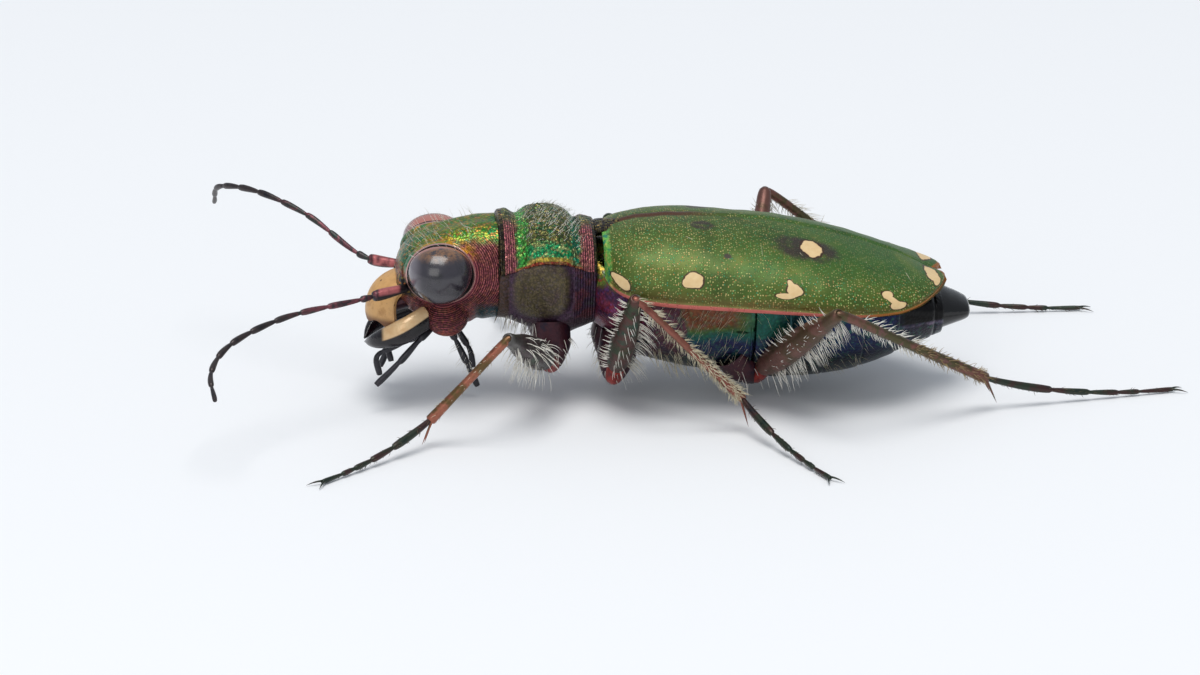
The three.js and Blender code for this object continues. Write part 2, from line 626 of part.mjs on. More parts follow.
const triangle = new THREE.Shape();
triangle.moveTo(SCUTELLUM.front, -SCUTELLUM.half);
triangle.lineTo(SCUTELLUM.back, 0);
triangle.lineTo(SCUTELLUM.front, SCUTELLUM.half);
triangle.closePath();
const scutellumOf = (grow) => {
  const depth = SCUTELLUM.top - SCUTELLUM.low + 2 * grow;
  const plate = new THREE.ExtrudeGeometry(triangle, { depth, bevelEnabled: false });
  const centre = SCUTELLUM.front + (SCUTELLUM.back - SCUTELLUM.front) / 3;
  const scale = 1 + grow * 7;
  plate.translate(-centre, 0, 0).scale(scale, scale, 1).translate(centre, 0, SCUTELLUM.low - grow);
  return plate;
};
node('scutellum', scutellumOf(0), COPPER);
const scutellumRoom = solid(scutellumOf(GAP));

const coverRooms = [-1, 1].map((sign) => solid(elytron(sign, GAP)));
for (const [side, sign] of [['left', -1], ['right', 1]]) {
  node(`elytron_${side}`, solid(elytron(sign)).subtract(scutellumRoom), GREEN);
}
function underCovers(body) {
  return clearOfLegs(coverRooms.reduce((rest, room) => rest.subtract(room), body).subtract(scutellumRoom));
}
const between = (rows, steps) => evenly(rows[0][0], rows[rows.length - 1][0], steps);
const middleRing = solid(bodyForm(MESOTHORAX, { sides: 20, xs: between(MESOTHORAX, 4), lower: 1.9 }));
const hindRing = solid(bodyForm(METATHORAX, { sides: 20, xs: between(METATHORAX, 5), lower: 1.8 }));
node('mesothorax', underCovers(middleRing), MAROON);
node('metathorax', underCovers(hindRing), BELLY_BLUE);

// Abdomen rings: a shallow groove after each
const ringEnds = between(ABDOMEN, SEGMENTS);
const ringLength = ringEnds[1] - ringEnds[0];
const bellyXs = [];
for (const from of ringEnds.slice(0, -1)) {
  bellyXs.push(from, from + 0.12, from + ringLength * 0.5, from + ringLength - 0.1);
}
bellyXs.push(ringEnds[SEGMENTS]);
const grooved = (x) => (ringEnds.some((end) => Math.abs(end - x) < 0.02) ? GROOVE : 0);
const belly = solid(bodyForm(ABDOMEN, { sides: 22, xs: bellyXs, lower: 1.8, shrink: grooved }));
node('abdomen', underCovers(belly), BELLY_BLUE);
node('pygidium', bodyForm(PYGIDIUM, { sides: 16, xs: between(PYGIDIUM, 5), upper: 2 }), GLOSS_BLACK);

// The origin goes to the middle of the footprint, on the floor
const box = new THREE.Box3().setFromObject(beetle);
const middle = box.getCenter(new THREE.Vector3());
beetle.position.set(-middle.x, -middle.y, -box.min.z);
beetle.name = 'tiger_beetle';
export default beetle;
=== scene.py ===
# %% [markdown]
# This lesson dresses a life-size green tiger beetle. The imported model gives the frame: every
# plate, leg joint and feeler joint has its place there, in metres, with the head towards -X,
# the left side towards -Y and the feet on Z = 0. A beetle wears its skeleton outside, so each
# plate is a separate hard piece here too, and each new piece takes the place of a plain one.

# %% Load the frame
import math
import bpy
import numpy as np
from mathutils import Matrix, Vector


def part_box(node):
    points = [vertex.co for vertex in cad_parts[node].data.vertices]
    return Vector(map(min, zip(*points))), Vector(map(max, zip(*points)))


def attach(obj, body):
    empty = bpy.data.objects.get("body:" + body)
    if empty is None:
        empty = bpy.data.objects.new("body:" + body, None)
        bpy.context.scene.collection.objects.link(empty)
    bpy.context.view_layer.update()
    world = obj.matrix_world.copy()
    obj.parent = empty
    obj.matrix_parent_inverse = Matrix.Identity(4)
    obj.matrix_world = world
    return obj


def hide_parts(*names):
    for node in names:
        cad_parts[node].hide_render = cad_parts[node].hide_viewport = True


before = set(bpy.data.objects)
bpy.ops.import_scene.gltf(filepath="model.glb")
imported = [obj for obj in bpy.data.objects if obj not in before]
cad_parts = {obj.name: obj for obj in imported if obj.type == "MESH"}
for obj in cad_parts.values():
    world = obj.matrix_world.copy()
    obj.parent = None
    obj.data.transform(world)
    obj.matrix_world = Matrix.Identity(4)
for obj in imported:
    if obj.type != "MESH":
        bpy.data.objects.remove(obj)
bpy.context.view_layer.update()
SEED = 27
rng = np.random.default_rng(SEED)
print("nodes", len(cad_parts))

# %% [markdown]
# The shapes are thought out in millimetres, in a body frame whose X = 0 lies at the front of
# the wing covers and whose Y = 0 is the middle of the body. Two known faces of the packed
# model, the tail tip and the middle of the pronotum, say how far that frame is moved.

# %% From body millimetres to the frame's metres
MM = 0.001
TAIL_X = 8.96
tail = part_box("pygidium")
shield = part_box("pronotum")
MOVE = np.array([tail[1].x / MM - TAIL_X, (shield[0].y + shield[1].y) / 2 / MM, 0.0])
UP = np.array([0.0, 0.0, 1.0])
OUT = np.array([0.0, 1.0, 0.0])
AHEAD = np.array([1.0, 0.0, 0.0])
print("the body frame is moved by", MOVE.round(3), "mm")


def metres(points):
    return (np.asarray(points, float) + MOVE) * MM


# %% [markdown]
# A smooth profile through a few measured rows describes each plate: how high, how low and how
# wide it is at some places along the body. The curve between the rows never overshoots them.

# %% A curve through rows of sizes
def through(rows):
    rows = np.array(rows, float)
    xs, ys = rows[:, 0], rows[:, 1:]
    rise = np.diff(ys, axis=0) / np.diff(xs)[:, None]
    slope = np.vstack([rise[:1], np.zeros_like(ys[1:-1]), rise[-1:]])
    before, after = rise[:-1], rise[1:]
    same = before * after > 0
    slope[1:-1] = np.where(same, 2 * before * after / np.where(same, before + after, 1), 0)

    def at(x):
        x = np.clip(np.asarray(x, float), xs[0], xs[-1])
        i = np.clip(np.searchsorted(xs, x) - 1, 0, len(xs) - 2)
        span = (xs[i + 1] - xs[i])[..., None]
        t = (x - xs[i])[..., None] / span
        ease = t * (1 - t) ** 2 * slope[i] - t * t * (1 - t) * slope[i + 1]
        return ys[i] + (ys[i + 1] - ys[i]) * t * t * (3 - 2 * t) + ease * span
    return at


def power(value, exponent):
    return np.sign(value) * np.abs(value) ** exponent


def smooth(x, low, high):
    t = np.clip((np.asarray(x, float) - low) / (high - low), 0, 1)
    return t * t * (3 - 2 * t)


def unit(vector):
    vector = np.asarray(vector, float)
    return vector / np.linalg.norm(vector, axis=-1, keepdims=True)


# %% [markdown]
# Every plate and limb starts as a flat grid, as a sheet-metal worker starts with a sheet. The
# grid's points are moved to the curved shape, its two long sides are merged where they meet,
# and its open ends are filled. The grid keeps its own UV map, which is an unwrap of the shape.

# %% Sheets that are shaped, rolled and closed
MERGE_METRES = 2e-7
skins = {}


def free_selection():
    bpy.ops.object.select_all(action="DESELECT")


def pick(piece):
    free_selection()
    piece.select_set(True)
    bpy.context.view_layer.objects.active = piece


def sheet(name, across, along, place, closed=True):
    skins[name] = place
    free_selection()
    bpy.ops.mesh.primitive_grid_add(x_subdivisions=across, y_subdivisions=along, size=2)
    piece = bpy.context.object
    piece.name = name
    piece.data.name = name
    flat = np.zeros(len(piece.data.vertices) * 3)
    piece.data.vertices.foreach_get("co", flat)
    flat = flat.reshape(-1, 3)
    points = place((flat[:, 0] + 1) / 2, (flat[:, 1] + 1) / 2)
    piece.data.vertices.foreach_set("co", metres(points).ravel())
    bpy.ops.object.mode_set(mode="EDIT")
    bpy.ops.mesh.select_all(action="SELECT")
    bpy.ops.mesh.remove_doubles(threshold=MERGE_METRES)
    if closed:
        bpy.ops.mesh.select_all(action="DESELECT")
        bpy.ops.mesh.select_mode(type="EDGE")
        bpy.ops.mesh.select_non_manifold()
        if piece.data.total_edge_sel > 0:
            bpy.ops.mesh.fill()
        bpy.ops.mesh.select_all(action="SELECT")
        bpy.ops.mesh.normals_make_consistent(inside=False)
    bpy.ops.mesh.select_mode(type="VERT")
    bpy.ops.object.mode_set(mode="OBJECT")
    bpy.ops.object.shade_smooth()
    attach(piece, "root")
    return piece


# %% Sharp edges and thickness
def sharpen(piece, degrees=50):
    pick(piece)
    bpy.ops.object.shade_smooth_by_angle(angle=math.radians(degrees))


def thicken(piece, millimetres_thick):
    pick(piece)
    wall = piece.modifiers.new("thickness", "SOLIDIFY")
    wall.thickness = millimetres_thick * MM
    wall.offset = -1
    bpy.ops.object.modifier_apply(modifier=wall.name)


# %% [markdown]
# Limbs and feelers follow a path. Their skin is a sheet rolled round that path, thicker and
# thinner as the real joint is. The path through given points is the same centripetal curve
# that the model's limbs were built on.

# %% Paths and rolled limbs
STEPS_PER_SPAN = 40


def straight(start, end):
    start, end = np.array(start, float), np.array(end, float)
    return lambda t: start + (end - start) * np.asarray(t, float)[..., None]


def arc(start, middle, end):
    a, b, c = (np.array(p, float) for p in (start, middle, end))

    def at(t):
        t = np.asarray(t, float)[..., None]
        return a * (1 - t) ** 2 + b * 2 * t * (1 - t) + c * t * t
    return at


def by_points(places):
    p = np.array(places, float)
    p = np.vstack([2 * p[0] - p[1], p, 2 * p[-1] - p[-2]])
    count = len(p) - 3
    knots = []
    for i in range(count):
        a, b, c, d = p[i:i + 4]
        t0, t1, t2 = (np.linalg.norm(v) ** 0.5 for v in (b - a, c - b, d - c))
        leave = ((b - a) / t0 - (c - a) / (t0 + t1) + (c - b) / t1) * t1
        arrive = ((c - b) / t1 - (d - b) / (t1 + t2) + (d - c) / t2) * t1
        for t in np.linspace(0, 1, STEPS_PER_SPAN, endpoint=i == count - 1):
            knots.append((2 * t**3 - 3 * t**2 + 1) * b + (t**3 - 2 * t**2 + t) * leave
                         + (3 * t**2 - 2 * t**3) * c + (t**3 - t**2) * arrive)
    return evened(np.array(knots))


def evened(points):
    run = np.r_[0, np.cumsum(np.linalg.norm(np.diff(points, axis=0), axis=1))]
    run = run / run[-1]

    def at(t):
        t = np.asarray(t, float)
        return np.stack([np.interp(t, run, points[:, k]) for k in range(3)], -1)
    return at


# %% A limb rolled round a path
def frames(path, t, up):
    step = 1e-3  # a thousandth of the path
    t = np.asarray(t, float)
    along = unit(path(np.clip(t + step, 0, 1)) - path(np.clip(t - step, 0, 1)))
    across = unit(np.cross(up, along))
    above = np.cross(along, across)
    return path(t), along, above, across


def limb(name, path, sizes, rings=40, around=20, up=UP):
    size = through(sizes)

    def place(u, v):
        centre, along, above, across = frames(path, v, up)
        deep, wide = size(v).T
        angle = u * 2 * math.pi
        return centre + above * (deep * np.cos(angle))[:, None] + across * (wide * np.sin(angle))[:, None]
    return sheet(name, around, rings, place)


# %% [markdown]
# A plate of the body is a rolled sheet too, but its section is a squarish oval that is flatter
# below than above. Relief functions push its points outwards for ridges, folds and wrinkles.

# %% Body plates
def body_point(rows, x, angle, upper=2.2, lower=2.0):
    top, low, half, wide = through(rows)(x).T
    c, s = np.cos(angle), np.sin(angle)
    square = np.where(c > 0, upper, lower)
    rise = np.where(c > 0, top - wide, wide - low)
    return np.stack([x, half * power(s, 2 / square), wide + rise * power(c, 2 / square)], -1)


def waves(points, scale, seed):
    local = np.random.default_rng(seed)
    total = np.zeros(len(points))
    for octave in (1, 2.1):
        for _ in range(6):
            direction = unit(local.normal(size=3)) * scale * octave
            total += np.sin(points @ direction + local.uniform(0, 6.28)) / (6 * octave)
    return total


def plate(name, rows, around, along, upper=2.2, lower=2.0, relief=None, warp=None):
    first, last = rows[0][0], rows[-1][0]

    def place(u, v):
        x = first + (last - first) * v
        angle = u * 2 * math.pi
        points = body_point(rows, x, angle, upper, lower)
        centre = np.stack([x, np.zeros_like(x), through(rows)(x)[:, 3]], -1)
        if warp is not None:
            points = warp(points, centre)
        if relief is not None:
            points = points + unit(points - centre) * relief(points)[:, None]
        return points
    return sheet(name, around, along, place)


# %% [markdown]
# The head is a broad capsule. Its front drops steeply to the lip, its cheeks run down to a
# blunt corner below the eyes, and a raised orbit carries each bulging eye. The orbits are
# oval swellings: along each ray from the middle of the head the point goes to whichever is
# further out, the capsule or the swelling, with a soft hand-over between them.

# %% Head capsule
HEAD = [
    [-4.95, 3.30, 2.75, 0.60, 3.00], [-4.83, 3.66, 2.50, 0.86, 3.05],
    [-4.58, 3.98, 2.25, 1.00, 3.10], [-4.15, 4.24, 2.04, 1.10, 3.20],
    [-3.70, 4.38, 1.92, 1.18, 3.25], [-3.30, 4.46, 1.92, 1.24, 3.30],
    [-2.95, 4.52, 1.99, 1.26, 3.30], [-2.35, 4.54, 2.08, 1.20, 3.30],
]
EYE = np.array([-3.93, 1.20, 3.44])
EYE_SIZE = np.array([0.76, 0.68, 0.70])
EYE_TAPER = 0.12
EYE_LIFT = 0.12  # the right eye shows a little higher in the photograph
HAND_OVER = 16  # per mm; a larger number makes the crease at an orbit sharper
SWELLINGS = [
    (np.array([-3.93, 0.90, 3.44]), np.array([0.86, 0.70, 0.73]), 0.02),
    (np.array([-3.76, 0.82, 2.30]), np.array([0.52, 0.34, 0.50]), 0.0),
]


def swollen(points, centre):
    ray = points - centre
    reach = np.linalg.norm(ray, axis=1)
    direction = ray / np.maximum(reach, 1e-6)[:, None]
    out = reach.copy()
    for middle, size, lift in SWELLINGS:
        for side in (-1, 1):
            place = middle * [1, side, 1] + UP * (lift if side > 0 else 0)
            from_ball = (centre - place) / size
            d = direction / size
            a, b, c = (d * d).sum(1), (d * from_ball).sum(1), (from_ball**2).sum(1) - 1
            root = np.maximum(b * b - a * c, 0) ** 0.5
            far = np.where(b * b - a * c > 0, (-b + root) / a, 0)
            more = np.log1p(np.exp(np.clip((far - out) * HAND_OVER, -30, 30))) / HAND_OVER
            out = out + np.where(far > 0, more, 0)
    return centre + direction * out[:, None]


def head_relief(points):
    dip = -0.05 * np.exp(-(points[:, 1] / 0.35) ** 2) * smooth(points[:, 2], 3.9, 4.3)
    groove = -0.05 * np.exp(-((points[:, 0] + 3.02) / 0.1) ** 2) * smooth(-points[:, 2], -3.9, -3.2)
    return dip + groove + 0.012 * waves(points, 7, 3)


head = plate("head_capsule", HEAD, 160, 130, 2.4, 1.9, head_relief, swollen)
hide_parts("head")
print("head faces", len(head.data.polygons))

# %% [markdown]
# The eyes bulge far out of the orbits, which gives the beetle its all-round sight. Each is a
# sphere that is a little longer above than below.

# %% Eyes
for side, sign in (("left", -1), ("right", 1)):
    def eye_place(u, v, sign=sign):
        polar = v * math.pi
        turn = u * 2 * math.pi
        ball = np.stack([np.sin(polar) * np.cos(turn), np.sin(polar) * np.sin(turn), np.cos(polar)], -1)
        size = EYE_SIZE * np.stack([1 + EYE_TAPER * ball[:, 2], np.ones(len(u)), np.ones(len(u))], -1)
        return EYE * [1, sign, 1] + UP * (EYE_LIFT if sign > 0 else 0) + ball * size
    eye = sheet(f"eye_{side}_ball", 64, 40, eye_place)
    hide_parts(f"eye_{side}")
    print(eye.name, "is", round(eye.dimensions.x / MM, 2), "mm long")

# %% [markdown]
# The pronotum is a collared shield. Two cross grooves set off a front and a rear collar from
# the wrinkled disc, and its lower border is the sharp side line above the breast plate.

# %% Pronotum
PRONOTUM = [
    [-2.54, 4.50, 3.42, 1.26], [-2.47, 4.60, 3.42, 1.31], [-2.30, 4.66, 3.48, 1.37],
    [-2.02, 4.52, 3.56, 1.38], [-1.80, 4.64, 3.66, 1.47], [-1.44, 4.73, 3.74, 1.52],
    [-1.05, 4.68, 3.72, 1.50], [-0.75, 4.50, 3.62, 1.42], [-0.60, 4.36, 3.56, 1.36],
    [-0.45, 4.43, 3.50, 1.38], [-0.17, 4.36, 3.45, 1.34],
]
BREAST = [
    [-2.54, 3.42, 2.06, 1.25], [-2.47, 3.42, 2.06, 1.29], [-1.90, 3.62, 1.86, 1.42],
    [-1.44, 3.74, 1.62, 1.50], [-1.00, 3.70, 1.58, 1.48], [-0.60, 3.56, 1.72, 1.36],
    [-0.17, 3.45, 1.88, 1.28],
]


def disc_relief(points):
    disc = smooth(points[:, 0], -1.95, -1.75) * (1 - smooth(points[:, 0], -0.75, -0.6))
    front = 0.03 * np.exp(-((points[:, 0] + 2.46) / 0.05) ** 2)
    bump = 0.09 * np.exp(-((points[:, 0] + 1.5) / 0.09) ** 2 - ((points[:, 1] - 0.1) / 0.1) ** 2)
    return disc * (0.026 * waves(points, 14, 5) + bump) + front + 0.008 * waves(points, 30, 6)


pronotum = plate("pronotum_shield", [[x, top, side, half, side] for x, top, side, half in PRONOTUM],
                 130, 110, 2.1, 2.0, disc_relief)
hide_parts("pronotum")
print("shield faces", len(pronotum.data.polygons))

# %% [markdown]
# The breast closes the front thorax below the side line. Its side carries one large rounded
# plate, raised a little and set off by a groove, which a relief function gives it.

# %% Breast
PLATE_MIDDLE = (-1.52, 3.02)
PLATE_HALF = (0.74, 0.78)


def breast_relief(points):
    dx = np.abs(points[:, 0] - PLATE_MIDDLE[0]) / PLATE_HALF[0]
    dz = np.abs(points[:, 2] - PLATE_MIDDLE[1]) / PLATE_HALF[1]
    edge = (dx**3 + dz**3) ** (1 / 3)
    crown = 0.05 * (1 - smooth(edge, 0.7, 1.0)) - 0.035 * np.exp(-((edge - 1.06) / 0.06) ** 2)
    return crown * smooth(np.abs(points[:, 1]), 0.6, 1.0) + 0.01 * waves(points, 8, 9)


breast = plate("prothorax_sides", [[x, side + 0.06, low, half - 0.02, side] for x, side, low, half in BREAST],
               110, 70, 2.0, 2.2, breast_relief)
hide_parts("prosternum")
print("breast faces", len(breast.data.polygons))

# %% [markdown]
# Behind the shield come the middle and hind thorax, which carry the wing covers and four of
# the legs, and then the belly with its overlapping rings. Each ring ends in a fine step.

# %% Sizes of thorax and belly
MESOTHORAX = [
    [-0.22, 3.90, 1.90, 1.22, 2.90], [0.15, 3.72, 1.62, 1.58, 2.78],
    [0.50, 3.72, 1.32, 1.82, 2.72], [0.96, 3.80, 1.06, 1.98, 2.68],
]
METATHORAX = [
    [0.90, 3.80, 1.02, 1.98, 2.66], [1.60, 3.85, 0.82, 2.06, 2.60],
    [2.40, 3.80, 0.64, 2.10, 2.56], [3.55, 3.70, 0.50, 2.10, 2.52],
]
ABDOMEN = [
    [3.45, 3.60, 0.46, 2.08, 2.50], [4.30, 3.55, 0.38, 2.10, 2.46],
    [5.30, 3.35, 0.42, 2.04, 2.40], [6.30, 3.05, 0.60, 1.84, 2.34],
    [7.30, 2.78, 0.98, 1.46, 2.26], [8.24, 2.50, 1.36, 1.02, 2.10],
]
TAIL = [
    [8.05, 2.44, 1.42, 0.94, 2.02], [8.30, 2.46, 1.50, 0.84, 2.02], [8.60, 2.36, 1.60, 0.72, 2.00],
    [8.84, 2.24, 1.68, 0.60, 1.98], [8.93, 2.18, 1.74, 0.53, 1.97], [8.96, 2.12, 1.82, 0.44, 1.97],
]
RINGS = 5
RING = (8.05 - 3.57) / RINGS


# %% Grooves between the plates
def side_plates(points):
    flank = smooth(np.abs(points[:, 1]), 0.8, 1.1)
    plate_one = np.exp(-((points[:, 0] - 0.02) / 0.22) ** 2 - ((points[:, 2] - 2.6) / 0.42) ** 2)
    seam = (points[:, 0] - 0.36) - 0.25 * (points[:, 2] - 2.4)
    return flank * (0.10 * plate_one - 0.06 * np.exp(-(seam / 0.04) ** 2)) + 0.012 * waves(points, 6, 12)


def flank_plates(points):
    flank = smooth(np.abs(points[:, 1]), 1.0, 1.5)
    low = np.exp(-((points[:, 2] - 1.72 - 0.16 * (points[:, 0] - 1.0)) / 0.035) ** 2)
    front = np.exp(-((points[:, 0] - 1.78 - 0.2 * (points[:, 2] - 2.2)) / 0.03) ** 2)
    upper = smooth(points[:, 2], 1.75, 1.9)
    return flank * (-0.05 * low - 0.05 * front * upper) + 0.01 * waves(points, 9, 11)


def belly_rings(points):
    place = (points[:, 0] - 3.57) / RING
    part = place - np.floor(place)
    step = -0.07 * np.exp(-((1 - part) / 0.05) ** 2) + 0.02 * part
    return step + 0.006 * waves(points, 12, 14)


# %% Four plates of the rear body
mesothorax = plate("mesothorax_plates", MESOTHORAX, 100, 50, 2.2, 1.9, side_plates)
metathorax = plate("metathorax_plates", METATHORAX, 140, 90, 2.2, 1.8, flank_plates)
abdomen = plate("abdomen_rings", ABDOMEN, 110, 160, 2.2, 1.8, belly_rings)
tail_tip = plate("tail_tip", TAIL, 60, 30, 2.0, 2.0)
for piece, node, slot in ((mesothorax, "mesothorax", "thorax_side"), (metathorax, "metathorax", "belly"),
                          (abdomen, "abdomen", "belly"), (tail_tip, "pygidium", "tail_tip")):
    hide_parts(node)
    print(piece.name, "faces", len(piece.data.polygons))

# %% [markdown]
# The wing covers are two hard shells that meet in a straight seam. Each is one curved sheet,
# from the seam over to the side edge, whose rim is rolled into a bead. A Solidify modifier
# then gives the sheet its real thickness, inwards.

# %% Shape of a wing cover
ELYTRA = [
    [0.00, 4.22, 3.30, 1.25], [0.12, 4.27, 3.18, 1.62], [0.40, 4.36, 3.03, 1.96],
    [0.90, 4.46, 2.91, 2.20], [1.60, 4.50, 2.84, 2.35], [2.60, 4.47, 2.79, 2.48],
    [3.80, 4.38, 2.71, 2.58], [5.00, 4.15, 2.62, 2.62], [6.00, 3.88, 2.54, 2.55],
    [6.90, 3.56, 2.52, 2.28], [7.50, 3.32, 2.60, 1.92], [8.00, 3.10, 2.76, 1.32],
    [8.25, 3.00, 2.86, 0.80], [8.33, 2.95, 2.90, 0.46],
]
ROOF = 0.25  # how far the two covers together rise like a low roof
SQUARE = 2.3
COVER_LENGTH = ELYTRA[-1][0]
COVER_THICK = 0.13
APEX_ROUND = 0.25
COVER_GAP = 0.006
cover_row = through(ELYTRA)


def cover_point(x, v):
    top, edge, half = cover_row(x).T
    angle = v * math.pi / 2
    across = np.sin(angle) ** (2 / SQUARE)
    over = np.clip(np.cos(angle), 0, 1) ** (2 / SQUARE)
    apex = smooth(x, 6.6, COVER_LENGTH)
    ridge = ROOF * smooth(x, 1.8, 3.6) * (1 - apex)
    height = edge + (top - edge - ridge) * over + ridge * (1 - across)
    return np.stack([x - APEX_ROUND * apex**2 * (1 - across) ** 2, half * across, height], -1)


def cover_relief(x, v):
    bead = 0.035 * smooth(v, 0.965, 0.985) - 0.015 * np.exp(-((v - 0.955) / 0.012) ** 2)
    seam = 0.02 * (1 - smooth(v, 0.005, 0.02)) - 0.012 * np.exp(-((v - 0.03) / 0.012) ** 2)
    front = 0.03 * (1 - smooth(x, 0.02, 0.1))
    shoulder = 0.05 * np.exp(-((x - 0.75) / 0.4) ** 2 - ((v - 0.62) / 0.16) ** 2)
    dent = -0.03 * np.exp(-((x - 0.7) / 0.45) ** 2 - ((v - 0.38) / 0.12) ** 2)
    return bead + seam + front + shoulder + dent + 0.006 * np.sin(x * 9 + 3 * v) * np.sin(v * 17 + x)


# %% Two covers from one shape
for side, sign in (("left", -1), ("right", 1)):
    def cover_place(u, v, sign=sign):
        x = COVER_LENGTH * (0.5 - 0.5 * np.cos(u * math.pi))
        v = np.where(v > 0.999, 0.9999, v)
        points = cover_point(x, v)
        angle = v * math.pi / 2
        points = points + np.stack([0 * x, np.sin(angle), np.cos(angle)], -1) * cover_relief(x, v)[:, None]
        points[:, 1] = sign * (points[:, 1] + COVER_GAP)
        return points
    cover = sheet(f"wing_cover_{side}", 220, 120, cover_place, closed=False)
    pick(cover)
    bpy.ops.object.mode_set(mode="EDIT")
    bpy.ops.mesh.select_all(action="SELECT")
    bpy.ops.mesh.normals_make_consistent(inside=False)
    bpy.ops.object.mode_set(mode="OBJECT")
    if cover.data.polygons[len(cover.data.polygons) // 2].normal.z < 0:
        cover.data.flip_normals()
    thicken(cover, COVER_THICK)
    sharpen(cover, 45)
    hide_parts(f"elytron_{side}")
    print(cover.name, "faces", len(cover.data.polygons))

# %% [markdown]
# The scutellum is the small triangle between the roots of the wing covers. It is a sheet
# too, narrowed to a point and bent down at its sides, so it lies snugly in their corner.

# %% Scutellum
PLATE_THICK = 0.12


def scutellum_place(u, v):
    x = -0.24 + 0.84 * v
    half = 0.46 * (1 - smooth(v, 0.3, 1.0) * 0.98)
    side = (u - 0.5) * 2
    return np.stack([x, side * half, 4.24 + 0.05 * v - 0.12 * side**2 - 0.16 * (1 - smooth(v, 0, 0.2))], -1)


scutellum = sheet("scutellum_triangle", 20, 20, scutellum_place, closed=False)
thicken(scutellum, PLATE_THICK)
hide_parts("scutellum")
print("scutellum faces", len(scutellum.data.polygons))

# %% [markdown]
# The upper lip hangs like a visor over the jaws. It is tan and horny, with a toothed edge. A
# sheet that follows an arc downwards gives the curve, and a cosine along its edge the teeth.

# %% Upper lip
LIP_HALF = 0.78
LIP_ARC = arc([-4.9, 0, 3.12], [-5.6, 0, 2.92], [-5.56, 0, 2.16])
LIP_TEETH = 3


def lip_place(u, v):
    side = (v - 0.5) * 2
    mid = LIP_ARC(u)
    teeth = 0.06 * np.cos(LIP_TEETH * math.pi * side) * smooth(u, 0.9, 1.0)
    back = 0.42 * side**2 + 0.2 * side**4 * smooth(u, 0.3, 1.0)
    drop = 0.12 * side**2 + 0.10 * side**4 * smooth(u, 0.5, 1.0)
    return np.stack([mid[:, 0] + back, side * LIP_HALF * (1 - 0.06 * smooth(u, 0.7, 1)),
                     mid[:, 2] - drop + teeth], -1)


lip = sheet("upper_lip", 40, 60, lip_place, closed=False)
thicken(lip, PLATE_THICK)
sharpen(lip)
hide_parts("labrum")
print("lip is", round(lip.dimensions.y / MM, 2), "mm wide")

# %% [markdown]
# Under the lip the roof of the mouth is a dark, blunt wedge, which closes the gap between
# the lip and the jaws when the mouth is seen from the side.

# %% Mouth roof
mouth = limb("mouth_roof", arc([-4.5, 0, 2.70], [-5.0, 0, 2.62], [-5.34, 0, 2.34]),
             [[0, 0.34, 0.70], [0.5, 0.30, 0.66], [0.9, 0.16, 0.52], [1, 0.05, 0.3]], 24, 28)
print("mouth roof faces", len(mouth.data.polygons))

# %% [markdown]
# Jaws are curved sickles with teeth on the inner side. A limb along a bent path makes the
# sickle, and the teeth are slim cones whose roots sit inside it and are joined to it.

# %% Jaws
JAW = [[-4.2, 0.78, 2.3], [-4.85, 1.0, 1.98], [-5.4, 0.68, 1.7], [-5.7, 0.14, 1.5]]
JAW_SIZES = [[0, 0.30, 0.2], [0.3, 0.31, 0.22], [0.6, 0.24, 0.2], [0.85, 0.13, 0.12], [1, 0.02, 0.02]]
JAW_TEETH = (0.42, 0.56, 0.7, 0.83)


def join(pieces, name):
    pick(pieces[0])
    for piece in pieces:
        piece.select_set(True)
    bpy.ops.object.join()
    pieces[0].name = name
    pieces[0].data.name = name
    return pieces[0]


def spike(name, root, tip, radius, bow=0.0):
    root, tip = np.array(root, float), np.array(tip, float)
    middle = (root + tip) / 2 + UP * bow
    hint = AHEAD if abs(unit(tip - root)[2]) > 0.8 else UP
    sizes = [[place, radius * share, radius * share] for place, share in ((0, 1), (0.5, 0.72), (1, 0.08))]
    return limb(name, arc(root, middle, tip), sizes, 8, 8, hint)


for side, sign in (("left", -1), ("right", 1)):
    path = by_points([[x, y * sign, z] for x, y, z in JAW])
    parts = [limb(f"jaw_{side}", path, JAW_SIZES, 50, 24)]
    for place in JAW_TEETH:
        root = path(np.array(place))
        tip = root + np.array([-0.12, -sign * 0.36 * (1.15 - place * 0.4), -0.1])
        parts.append(spike("tooth", root, tip, 0.09))
    jaw = join(parts, f"jaw_{side}")
    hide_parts(f"mandible_{side}")
    print(jaw.name, "has", len(JAW_TEETH), "teeth")

# %% [markdown]
# Below the jaws hang the palps, short jointed feelers with which the beetle handles its prey.
# A jointed limb is thin at the start of each joint and thicker at its end.

# %% Palps
def jointed(cuts, thick, thin=0.72):
    rows = []
    for i, (start, end) in enumerate(zip(cuts[:-1], cuts[1:])):
        size = thick[i]
        span = end - start
        rows += [[start + 0.02 * span, size * thin * 0.8, size * thin * 0.8],
                 [start + 0.15 * span, size * thin, size * thin],
                 [start + 0.8 * span, size, size], [end - 0.03 * span, size * 0.86, size * 0.86]]
    rows[0][0], rows[-1][0] = 0, 1
    return rows


